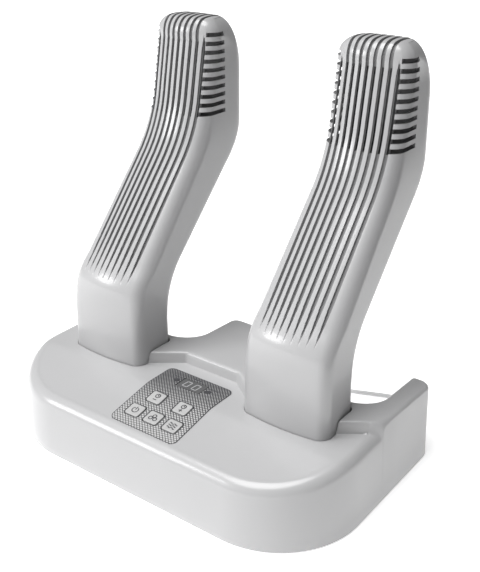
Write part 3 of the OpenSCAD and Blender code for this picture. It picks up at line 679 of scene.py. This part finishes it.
def make_arms(material, *painted_shade_materials):
    """Both arms; the other materials are painted shade, darker than the shell, on the hollow's lining
    and in the grooves.
    """
    verts, faces = arm_surface(ARM_FOOT_Z, CAP_Z, TOP_Z)
    normal = vertex_normals(verts, faces)
    centre = verts[:, 1].mean()
    if (normal[:, 1] * (verts[:, 1] - centre)).sum() < 0:
        normal = -normal
    skin = BVHTree.FromPolygons(place(verts).tolist(), faces)
    verts = verts - normal * groove_depth(verts, normal)[:, None]
    outer = add_mesh("arm_moulding_left", verts, faces, 35)
    inner = add_mesh("hollow", *arm_surface(ARM_FOOT_Z + 2.5, CAP_Z - HOLLOW_DROP,
                                            TOP_Z - HOLLOW_DROP, HOLLOW_INSET))
    hollow = BVHTree.FromPolygons([v.co for v in inner.data.vertices],
                                  [p.vertices for p in inner.data.polygons])
    windows = [side_cutter(i, side) for i in range(WINDOWS) for side in (-1, 1)]
    cut(outer, inner)
    cut(outer, add_mesh("cutter", *prisms(slot_cutter(k) for k in GROOVES)))
    cut(outer, add_mesh("cutter", *prisms(windows)))
    outer.data.shade_smooth()
    outer.data.set_sharp_from_angle(angle=radians(35))
    away = lambda p, surface: surface.find_nearest(p.center)[3] / MM
    # the hollow's lining and the deep groove and slot faces get darker materials: painted shade
    painted_shade_index = [1 if away(p, hollow) < LINING_REACH
            else 2 if GROOVE_REACH[0] < away(p, skin) < GROOVE_REACH[1]
            else 0 for p in outer.data.polygons]
    right = outer.copy()
    right.data = outer.data.copy()
    right.name = "arm_moulding_right"
    bpy.context.scene.collection.objects.link(right)
    for obj, side, name in ((outer, -1, "left"), (right, 1, "right")):
        obj.data.transform(Matrix.Translation((side * ARM_X * MM, 0, 0)))
        finish_piece(obj, "shell_plastic", material, "arm_" + name, "arm_back_" + name)
        for other in painted_shade_materials:
            obj.data.materials.append(other)
        obj.data.polygons.foreach_set("material_index", painted_shade_index)


# ---- panel ----

PANEL_W, PANEL_Y = 66, (12, 88)
PANEL_MIDDLE, PANEL_L = sum(PANEL_Y) / 2, PANEL_Y[1] - PANEL_Y[0]
FILM_FOOT, FILM_TOP, INK_FOOT = 0.03, 0.48, 0.47    # above the deck
DISPLAY_Y, DISPLAY = 74.7, (23.5, 13)
WINDOW_TOP, WINDOW_T = CREST_Z + 0.45, 1.1
LAMPS = ((PANEL_X - 16.5, 75), (PANEL_X + 16.5, 75))
LAMP_HOLE_R = 2.7
KEY_W, KEY_L, KEY_GAP = 13, 12, 1.2
KEYS = tuple((name, PANEL_X + x, s) for name, x, s in (
    ("key_time_down", -13.4, -11.4), ("key_time_up", 13.4, -11.4), ("key_power", -19, -30.8),
    ("key_ozone", 0, -30.8), ("key_drying", 19, -30.8)))
SLOPE = radians(11.003)             # of the CAD's deck, which the keys move square to


def on_slope(x, s, up=0.0):
    """A point of the sloping deck, s back from the crest and up along its normal."""
    return np.array([x, CREST_Y + s * cos(SLOPE) - up * sin(SLOPE),
                     CREST_Z + s * sin(SLOPE) + up * cos(SLOPE)])


def print_on_film(name, strokes, width, ink):
    """Raised ink lines on the panel's film, from plan strokes."""
    verts, faces = stroke_mesh(strokes, width, 0.05)
    line = add_mesh(name, [(x, y, deck_z(y) + INK_FOOT + up) for x, y, up in verts], faces)
    finish_piece(line, "panel_film", ink)


def make_overlay(material, ink):
    """The panel's film with its openings, an ink line printed around it, and dark ink rings around the
    keys that are painted shade of the gaps.
    """
    plan = lambda loop: np.array([on_slope(x, s)[:2] for x, s in loop])
    around_key = lambda x, s, gap, r: rounded_rect(x, s, KEY_W + gap, KEY_L + gap, r)
    outline = even(rounded_rect(PANEL_X, PANEL_MIDDLE, PANEL_W, PANEL_L, 5.5, 8), 1.5)
    holes = [plan(even(around_key(x, s, KEY_GAP, 2.4), 1.2)) for _, x, s in KEYS]
    holes.append(even(rounded_rect(PANEL_X, DISPLAY_Y, DISPLAY[0] + 0.9, DISPLAY[1] + 0.9, 1), 1.5))
    holes += [arc(x, y, LAMP_HOLE_R, 0, 345, 23) for x, y in LAMPS]
    obj = slab("panel_film", outline, holes, lambda p: deck_z(p[:, 1]) + FILM_TOP,
               lambda p: deck_z(p[:, 1]) + FILM_FOOT, spacing=1.5)
    finish_piece(obj, "panel_film", material, "panel_overlay")
    edge = rounded_rect(PANEL_X, PANEL_MIDDLE, PANEL_W - 0.7, PANEL_L - 0.7, 5.2, 8)
    strokes = [resample(np.vstack([edge, edge[:1]]), lambda p: 1.5)]
    # dark rings around the keys: painted shade of the gaps around the caps
    for _, x, s in KEYS:
        line = around_key(x, s, KEY_GAP + 0.7, 2.7)
        strokes.append(plan(np.vstack([line, line[:1]])))
    print_on_film("panel_border_and_key_shade", strokes, 0.6, ink)


def icon_lines(kind):
    """Strokes of a generic icon, each a list of x, y points about its centre."""
    ring = lambda r, a0=0, a1=360, n=20, c=(0, 0): arc(c[0], c[1], r, a0, a1, n).tolist()
    if kind.startswith("key_time"):
        clock = [ring(2, c=(0, 1.9)), [(0, 3.1), (0, 1.9), (1, 1.9)]]
        minus = [[(-1.4, -2.6), (1.4, -2.6)]]
        return clock + minus + ([[(0, -4), (0, -1.2)]] if kind.endswith("up") else [])
    if kind == "key_power":
        return [ring(2.7, 125, 415), [(0, 0.4), (0, 3.4)]]
    if kind == "key_ozone":
        return [ring(1.55, c=(-2.1, -1)), ring(1.55, c=(2.1, -1)), ring(1.55, c=(0, 1.8))]
    wave = lambda y: [(x, y + 0.6 * sin(x * 1.6)) for x in np.linspace(-3.6, 3.6, 15)]
    return [wave(-2.2), wave(0), wave(2.2)]


def stroke_mesh(strokes, width, height):
    """Closed raised bars along each stroke, as vertices and faces in the plane's own axes."""
    verts, faces = [], []
    for stroke in strokes:
        pts = np.array(stroke, float)
        t = np.gradient(pts, axis=0)
        t /= np.linalg.norm(t, axis=1)[:, None]
        side = np.stack([-t[:, 1], t[:, 0]], 1) * width / 2
        pts[0] -= t[0] * width * 0.3
        pts[-1] += t[-1] * width * 0.3
        start, n = len(verts), len(pts)
        for offset, z in ((-1, 0), (-0.85, height), (0.85, height), (1, 0)):
            verts.extend(np.column_stack([pts + offset * side, np.full(n, z)]).tolist())
        for k in range(4):
            a, b = start + k * n, start + (k + 1) % 4 * n
            faces.extend(strip(a, b, n, closed=False))
        faces.append(tuple(start + k * n for k in range(4)))
        faces.append(tuple(start + k * n + n - 1 for k in range(4))[::-1])
    return verts, faces


# rings of a key cap as growth, height and corner radius: a flange, an upright wall, a soft edge
# and a slightly dished top
CAP_RINGS = ((2.3, -4.3, 1.8), (2.3, -3.3, 1.8), (0, -3.2, 1.8), (0, 0.75, 1.8),
             (-0.25, 1.0, 1.675), (-0.8, 1.08, 1.4), (-4, 1.02, 0.6))


def make_keys(cap_material, ink):
    for name, x, s in KEYS:
        verts = []
        for grow, z, r in CAP_RINGS:
            loop = rounded_rect(0, 0, KEY_W + grow, KEY_L + grow, r, 6)
            verts.extend(on_slope(x + a, s + b, z) for a, b in loop)
        cap = add_mesh("cap_" + name, verts, capped_tube(len(CAP_RINGS), len(loop)), 30)
        finish_piece(cap, "key_plastic", cap_material, name, body=name)
        marks, mark_faces = stroke_mesh(icon_lines(name), 0.85, 0.06)
        marks = [on_slope(x + a, s + b, 1.05 + c) for a, b, c in marks]
        icon = add_mesh("icon_" + name, marks, mark_faces, 30)
        finish_piece(icon, "key_plastic", ink, body=name)


def make_display(window_material, digit_material, ink):
    level = lambda z: lambda p: np.full(len(p), z)
    window = slab("window_pane", rounded_rect(PANEL_X, DISPLAY_Y, *DISPLAY, 0.9), [],
                  level(WINDOW_TOP), level(WINDOW_TOP - WINDOW_T), spacing=2.0, edge=0.08)
    finish_piece(window, "window_film", window_material, "display_window")
    segments = []
    for cx in (PANEL_X - 4.8, PANEL_X + 4.4):
        hw, hh, lean = 2.3, 3.7, 0.35
        corner = lambda a, b: (cx + a * hw + b * lean, DISPLAY_Y + b * hh)
        ends = [(-1, 1), (1, 1), (1, 0), (1, -1), (-1, -1), (-1, 0)]
        for a, b in zip(ends, ends[1:] + ends[:1]):
            p, q = np.array(corner(*a)), np.array(corner(*b))
            d = (q - p) * 0.1
            segments.append([tuple(p + d), tuple(q - d)])
    verts, faces = stroke_mesh(segments, 0.9, 0.03)
    digits = add_mesh("display_digits", [(a, b, WINDOW_TOP + c) for a, b, c in verts], faces)
    finish_piece(digits, "window_film", digit_material)
    angles = np.linspace(0, 2 * pi, 33)[:-1]
    rings = ((2.55, -6), (2.55, 0.45), (2.45, 0.6), (1.6, 0.64), (0.6, 0.64))
    for (x, y), tag, nodes in zip(LAMPS, "ab", (["indicator_lamps"], [])):
        verts = [(x + r * cos(a), y + r * sin(a), CREST_Z + z) for r, z in rings for a in angles]
        lamp = add_mesh("lamp_" + tag, verts, capped_tube(len(rings), len(angles)))
        finish_piece(lamp, "lamp_resin", ink, *nodes)
    # a short generic mark behind each lamp and one behind the window
    marks = [[(-22, 79.4), (-12, 79.4)], [(16, 79.4), (26, 79.4)], [(-3, 84.2), (5, 84.2)]]
    print_on_film("panel_marks", marks, 1.1, ink)


# ---- lead ----

LEAD_R = 1.8
PLUG = np.array([-47, 207, 7])
RELIEF = np.array([26, 187, 10])
LEAD_OUT = [[26, 206, 10], [26, 209, 9.8], [27.5, 213.5, 9], [31.5, 217.5, 8], [38, 219.5, 6.4],
            [46, 219, 4.6], [55, 216.5, 3], [65, 213.5, 2], [78, 210.5, 1.8], [92, 209.5, 1.8],
            [106, 211, 1.8], [118, 215.5, 1.8], [126, 223, 1.8], [128, 232, 1.8], [123, 240, 1.8],
            [114, 244.5, 1.8], [104, 245.5, 1.8], [94, 243.5, 1.8], [79, 237.5, 1.8], [64, 231.5, 1.8],
            [50, 227.8, 1.8], [36, 225.6, 1.8], [20, 224.2, 1.8], [5, 224, 1.8]]
LEAD_BACK = [[5, 224, 5.4], [-4, 223.6, 5.2], [-11, 222, 4.6], [-18, 218.6, 3.6], [-25, 214, 3.2],
             [-32, 209.6, 4.4], [-39, 207.4, 6], [-47, 207, 7]]
COIL = np.array([5, 251])
TURN_RADII = (27, 23.4, 19.8, 16.2, 16.2, 19.8, 23.4, 27)


def spline(points):
    """Points on a smooth curve through the given ones, six to a span."""
    p = np.array(points, float)
    p = np.vstack([2 * p[0] - p[1], p, 2 * p[-1] - p[-2]])
    out = []
    for i in range(1, len(p) - 2):
        for t in np.arange(6) / 6:
            out.append(0.5 * ((2 * p[i]) + (p[i + 1] - p[i - 1]) * t
                              + (2 * p[i - 1] - 5 * p[i] + 4 * p[i + 1] - p[i + 2]) * t * t
                              + (3 * p[i] - p[i - 1] - 3 * p[i + 1] + p[i + 2]) * t ** 3))
    return np.vstack([out, p[-2]])


def coil_points():
    """Turns that wind inward on the floor and out again on top, each easing into the next."""
    out = []
    last = len(TURN_RADII) - 1
    layer = lambda turn: LEAD_R if turn <= last // 2 else 3 * LEAD_R
    for turn, radius in enumerate(TURN_RADII):
        following = TURN_RADII[min(turn + 1, last)]
        z, z_next = layer(turn), layer(turn + 1)
        for share in np.arange(48) / 48:
            move = smoothstep((share - 0.72) / 0.28)
            r = radius + (following - radius) * move
            a = radians(-90 - 360 * share)
            out.append([COIL[0] + r * cos(a), COIL[1] + r * sin(a), z + (z_next - z) * move])
    return np.array(out)


def make_relief(sheath):
    """The strain relief: a flange and a tapering, ribbed sleeve."""
    shape = [(3.7, -6), (5.0, 0.1), (5.0, 1.3), (4.6, 1.7)]
    for k in range(5):
        s, r = 2.6 + k * 3.1, 3.5 - k * 0.24
        root = r - 0.45
        shape += [(root, s - 0.7), (root, s), (r, s + 0.3), (r, s + 1.9), (root, s + 2.2)]
    relief = revolve("strain_relief_sleeve", shape + [(2.3, 18.4), (2.0, 18.9)], RELIEF, (0, 1, 0))
    return finish_piece(relief, "lead_sheath", sheath, "strain_relief")


def make_plug(sheath, pin_metal):
    """The plug: a tapered neck with ribs, a rounded body and two sleeved pins."""
    shape = [(1.9, 0), (2.35, 0.2)]
    for k in range(4):
        r, s = 2.5 + k * 0.42, 1 + k * 2.6
        shape += [(r, s), (r + 0.4, s + 0.2), (r + 0.45, s + 1.8), (r + 0.05, s + 2.0)]
    neck = revolve("plug_neck", shape + [(4.2, 12.2)], PLUG, (-1, 0, 0))
    body = loft_plug()
    finish_piece(neck, "lead_sheath", sheath)
    finish_piece(body, "lead_sheath", sheath, "mains_plug")
    pins, parts = [], (("pin_sleeve", 1.98, 0.2, 10, sheath), ("pin_tip", 1.9, 10, 17.9, pin_metal))
    for side, tag in ((-1, "a"), (1, "b")):
        for part, r, s0, s1, material in parts:
            start = PLUG + np.array([-35, side * 9.3, 0])
            tip = [(r, s1 - 1.2), (r * 0.85, s1 - 0.4), (r * 0.5, s1)]
            shape = [(r * 0.8, s0), (r, s0 + 0.3)] + tip
            pin = revolve(f"{part}_{tag}", shape, start, (-1, 0, 0))
            pins.append(finish_piece(pin, "lead_sheath", material))
    return neck, body, pins


def make_lead(sheath, tie_material, pin_metal):
    path = place(np.vstack([spline(LEAD_OUT)[:-1], coil_points(), spline(LEAD_BACK)]))
    curve = bpy.data.curves.new("mains_lead", "CURVE")
    curve.dimensions = "3D"
    line = curve.splines.new("POLY")
    line.points.add(len(path) - 1)
    line.points.foreach_set("co", np.column_stack([path, np.ones(len(path))]).ravel())
    curve.bevel_depth = LEAD_R * MM
    curve.bevel_resolution = 4
    curve.use_fill_caps = True
    lead = add_object("mains_lead", curve)
    finish_piece(lead, "lead_sheath", sheath, "power_cord", "cord_coil", "cord_tail")
    relief = make_relief(sheath)
    neck, body, pins = make_plug(sheath, pin_metal)
    lo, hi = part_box("cord_tie")
    tie = make_tie(lo, hi, tie_material)


def revolve(name, shape, origin, axis):
    """A closed turned solid: shape is radius and distance along the axis from the origin."""
    axis = Vector(axis)
    u = Vector((0, 0, 1))
    v = axis.cross(u)
    angles = np.linspace(0, 2 * pi, 41)[:-1]
    verts = [Vector(origin) + axis * s + r * (u * cos(a) + v * sin(a))
             for r, s in shape for a in angles]
    return add_mesh(name, [tuple(p) for p in verts], capped_tube(len(shape), len(angles)))


def loft_plug():
    """The plug's body: rounded in section, with soft ends and a waist for the fingers."""
    sections = ((0, 0.55), (0.4, 0.72), (1.4, 0.86), (3.5, 0.94), (7, 0.95), (11, 0.9), (15, 0.92),
                (19, 0.99), (21.8, 1.0), (22.7, 0.97), (23, 0.93))
    loop = rounded_rect(0, 0, 24, 13.4, 6, 9)
    verts = []
    for s, scale in sections:
        verts.extend((PLUG[0] - 12 - s, PLUG[1] + a * scale, PLUG[2] + b * min(scale * 1.04, 1))
                     for a, b in loop)
    return add_mesh("plug_body", verts, capped_tube(len(sections), len(loop)))


def make_tie(lo, hi, material):
    """A hook-and-loop strap laid over the coil's turns."""
    y0, y1, x0, x1 = (lo.y - FRONT) / MM, (hi.y - FRONT) / MM, lo.x / MM, hi.x / MM
    h, thick, r, foot = hi.z / MM, 0.9, 2.2, 0.05
    line = lambda t: np.vstack([[(y0 + t, foot)], arc(y0 + r, h - r, r - t, 180, 90, 6),
                                arc(y1 - r, h - r, r - t, 90, 0, 6), [(y1 - t, foot)]])
    section = np.vstack([line(0), line(thick)[::-1]])
    n = len(section)
    cuts = np.concatenate([[x0], np.linspace(x0 + 0.3, x1 - 0.3, 5), [x1]])
    verts = [(x, y, z) for x in cuts for y, z in section]
    faces = [q for k in range(len(cuts) - 1) for q in strip(k * n, (k + 1) * n, n)]
    for base in (0, (len(cuts) - 1) * n):
        faces += [(base + i, base + i + 1, base + n - 2 - i, base + n - 1 - i)
                  for i in range(n // 2 - 1)]
    tie = add_mesh("coil_strap", verts, faces, 50)
    return finish_piece(tie, "lead_sheath", material, "cord_tie")


# ---- materials ----

def set_inputs(node, **values):
    """Sets a shader node's inputs, named with _ for each space, and returns the node."""
    for name, value in values.items():
        node.inputs[name.replace("_", " ")].default_value = value
    return node


def plain_material(name, **values):
    m = bpy.data.materials.new(name)
    m.use_nodes = True
    set_inputs(m.node_tree.nodes["Principled BSDF"], **values)
    return m


def material(name, colour, roughness, metallic=0.0, coat=0.0, mottle=0.03, scale=60, grain=0.0,
             grain_scale=900, rough_spread=0.05, sheen=0.0):
    """A moulded or milled surface: slight colour mottling, uneven gloss and a fine grain."""
    m = plain_material(name, Metallic=metallic, Coat_Weight=coat, Coat_Roughness=0.12,
                       Sheen_Weight=sheen)
    tree = m.node_tree
    bsdf, new, link = tree.nodes["Principled BSDF"], tree.nodes.new, tree.links.new
    coords = new("ShaderNodeTexCoord")
    noise = set_inputs(new("ShaderNodeTexNoise"), Scale=scale, Detail=4)
    link(coords.outputs["Object"], noise.inputs["Vector"])
    tint = new("ShaderNodeValToRGB")
    darker, lighter = tint.color_ramp.elements
    darker.position, lighter.position = 0.3, 0.7
    darker.color = (*[c * (1 - mottle) for c in colour], 1)
    lighter.color = (*[min(1, c * (1 + mottle)) for c in colour], 1)
    link(noise.outputs["Fac"], tint.inputs["Fac"])
    link(tint.outputs["Color"], bsdf.inputs["Base Color"])
    gloss = set_inputs(new("ShaderNodeMapRange"), To_Min=max(roughness - rough_spread, 0.02),
                       To_Max=roughness + rough_spread)
    link(noise.outputs["Fac"], gloss.inputs["Value"])
    link(gloss.outputs["Result"], bsdf.inputs["Roughness"])
    if grain:
        fine = set_inputs(new("ShaderNodeTexNoise"), Scale=grain_scale, Detail=3)
        link(coords.outputs["Object"], fine.inputs["Vector"])
        bump = set_inputs(new("ShaderNodeBump"), Strength=grain, Distance=0.4 * MM)
        link(fine.outputs["Fac"], bump.inputs["Height"])
        link(bump.outputs["Normal"], bsdf.inputs["Normal"])
    return m


MESH_PITCH, MESH_EDGE = 2.05, 0.05
MESH_DARK = (0.045, 0.045, 0.048, 1)
MESH_LIGHT, MESH_PAINTED_SHADE = (0.52, 0.52, 0.52, 1), (0.26, 0.26, 0.265, 1)


def panel_material():
    """A printed film: a diamond mesh whose light cells shrink towards the rear, and darken towards the
    rear and the left as painted shade.
    """
    m = material("panel_print", (0.1, 0.1, 0.105), 0.35, coat=0.25, mottle=0.02)
    tree = m.node_tree
    new, link = tree.nodes.new, tree.links.new

    def maths(operation, a, b=None):
        node = new("ShaderNodeMath")
        node.operation = operation
        for socket, value in zip(node.inputs, (a, b)):
            if isinstance(value, (int, float)):
                socket.default_value = value
            elif value is not None:
                link(value, socket)
        return node.outputs[0]

    def ramp(value, y_from, y_to, low, high):
        """A value that goes from low to high between two places on the deck."""
        node = set_inputs(new("ShaderNodeMapRange"), From_Min=FRONT + y_from * MM,
                          From_Max=FRONT + y_to * MM, To_Min=low, To_Max=high)
        link(value, node.inputs["Value"])
        return node.outputs[0]

    def colour_mix(factor, **colours):
        node = new("ShaderNodeMix")
        node.data_type = "RGBA"
        link(factor, node.inputs["Factor"])
        return set_inputs(node, **colours)

    split = new("ShaderNodeSeparateXYZ")
    link(new("ShaderNodeTexCoord").outputs["Object"], split.inputs[0])
    x, y = split.outputs[0], split.outputs[1]
    pitch = MESH_PITCH * MM * sqrt(2)
    away = lambda value: maths("ABSOLUTE", maths("SUBTRACT", maths("FRACT", value), 0.5))
    cell = maths("MAXIMUM", away(maths("DIVIDE", maths("ADD", x, y), pitch)),
                 away(maths("DIVIDE", maths("SUBTRACT", x, y), pitch)))
    reach = ramp(y, 20, 78, 0.40, 0.30)
    clamp = new("ShaderNodeClamp")
    link(maths("DIVIDE", maths("SUBTRACT", reach, cell), MESH_EDGE), clamp.inputs[0])
    # painted shade: the light cells darken towards the rear and to the left
    shade = ramp(maths("SUBTRACT", y, maths("MULTIPLY", x, 0.3)), 38, 84, 0.0, 1.0)
    light = colour_mix(shade, A=MESH_LIGHT, B=MESH_PAINTED_SHADE)
    mix = colour_mix(clamp.outputs[0], A=MESH_DARK)
    link(light.outputs["Result"], mix.inputs["B"])
    link(mix.outputs["Result"], tree.nodes["Principled BSDF"].inputs["Base Color"])
    return m


def dress_cad_nodes():
    """Gives each CAD node that stays in view, or inside, its own finish."""
    looks = {
        "shell_plastic": ((0.7, 0.7, 0.71), 0.3), "under_plastic": ((0.62, 0.62, 0.63), 0.5),
        "foot_rubber": ((0.03, 0.03, 0.032), 0.8), "screw_steel": ((0.55, 0.55, 0.57), 0.3),
        "panel_film": ((0.2, 0.2, 0.2), 0.4), "key_plastic": ((0.75, 0.75, 0.75), 0.35),
        "window_film": ((0.03, 0.03, 0.035), 0.15), "lamp_resin": ((0.1, 0.1, 0.11), 0.2),
        "board": ((0.02, 0.12, 0.05), 0.4), "dark_plastic": ((0.03, 0.03, 0.033), 0.45),
        "duct_plastic": ((0.3, 0.3, 0.31), 0.5), "heater_block": ((0.5, 0.46, 0.38), 0.7),
        "motor_can": ((0.5, 0.5, 0.52), 0.32), "filter_foam": ((0.035, 0.035, 0.04), 0.95),
        "lead_sheath": ((0.66, 0.66, 0.67), 0.5)}
    metal = ("screw_steel", "motor_can")
    soft = ("foot_rubber", "filter_foam", "under_plastic", "duct_plastic")
    made = {}
    for part in frame["record"]["subparts"]:
        slot = part["material_slot"]
        if slot not in made:
            colour, roughness = looks[slot]
            made[slot] = material("cad_" + slot, colour, roughness, metallic=float(slot in metal),
                                  grain=0.5 if slot in soft else 0.12, grain_scale=1500)
        mesh = frame["nodes"][part["node"]].data
        mesh.materials.clear()
        mesh.materials.append(made[slot])


# ---- stage ----

FLOOR_REACH = 12
CARD_X, CARD_Y, CARD_TOP = 0.5, (-0.3, 1.0), 0.6


def stage_quad(name, points, look):
    mesh = bpy.data.meshes.new(name)
    mesh.from_pydata(points, [], [(0, 1, 2, 3)])
    mesh.materials.append(look)
    return add_object(name, mesh)


def make_stage():
    """A pale floor that gives off some light, and a dark card out of view to the right, which keeps
    the arms' right sides from washing out."""
    paint = plain_material("floor_paint", Base_Color=(0.95, 0.95, 0.95, 1), Roughness=0.9,
                           Emission_Color=(1, 1, 1, 1), Emission_Strength=0.42)
    s = FLOOR_REACH
    floor = stage_quad("floor", [(-s, -s, 0), (s, -s, 0), (s, s, 0), (-s, s, 0)], paint)
    floor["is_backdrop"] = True
    (y0, y1), x, z = CARD_Y, CARD_X, CARD_TOP
    black = plain_material("card_black", Base_Color=(0.05, 0.05, 0.05, 1))
    card = stage_quad("card", [(x, y0, 0), (x, y1, 0), (x, y1, z), (x, y0, z)], black)
    card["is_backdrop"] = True


def add_light(name, kind, energy, travel):
    """A new lamp that shines along travel; its size and place are set by the caller."""
    data = bpy.data.lights.new(name, kind)
    data.energy = energy
    lamp = add_object(name, data)
    lamp.rotation_euler = Vector(travel).to_track_quat("-Z", "Y").to_euler()
    return lamp


def make_lights():
    world = bpy.data.worlds.new("studio")
    world.use_nodes = True
    set_inputs(world.node_tree.nodes["Background"], Color=(1, 1, 1, 1), Strength=0.16)
    bpy.context.scene.world = world
    sun = add_light("overhead", "SUN", 3.35, (0.16, 0.26, -1))
    sun.data.angle = radians(45)
    where, target = Vector((-1.5, -1.7, 1.05)), Vector((0, 0, 0.15))
    key = add_light("key", "AREA", 23, target - where)
    key.location = where
    key.data.size = 0.8
    bpy.context.scene.view_settings.view_transform = "Standard"


make_camera()
abs_shell = material("glossy_abs", (0.43, 0.43, 0.435), 0.28, coat=0.25, mottle=0.006, scale=25,
                     grain=0.05, grain_scale=1400, rough_spread=0.012)
sheath = material("soft_pvc", (0.66, 0.66, 0.665), 0.42, mottle=0.02, grain=0.15)
strap_cloth = material("strap_cloth", (0.05, 0.05, 0.055), 0.9, mottle=0.2, scale=900, grain=0.9,
                       grain_scale=2600, sheen=0.4)
pin_metal = material("pin_nickel", (0.75, 0.74, 0.7), 0.22, metallic=1.0, mottle=0.05, scale=400,
                     grain=0.08)
cap_plastic = material("key_cap", (0.44, 0.44, 0.44), 0.35, mottle=0.02, scale=120, grain=0.2,
                       grain_scale=2500)
ink = material("icon_ink", (0.05, 0.05, 0.055), 0.5, mottle=0.1, scale=900)
glass = material("tinted_window", (0.11, 0.11, 0.112), 0.12, coat=0.6, mottle=0.05, scale=80)
digit = material("digit_segments", (0.36, 0.36, 0.37), 0.4, mottle=0.05, scale=500)
make_lead(sheath, strap_cloth, pin_metal)
make_base(abs_shell)
# the arms' lining and groove materials are painted shade, darker than the shell
make_arms(abs_shell, material("lining_painted_shade", (0.12, 0.12, 0.122), 0.6, mottle=0.05),
          material("groove_painted_shade", (0.24, 0.24, 0.243), 0.5, mottle=0.03))
make_overlay(panel_material(), ink)
make_keys(cap_plastic, ink)
make_display(glass, digit, ink)
dress_cad_nodes()
make_stage()
make_lights()
corners = lambda box: [list(map(float, corner)) for corner in box]
{"cad": corners(cad_box), "visual": corners(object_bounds())}
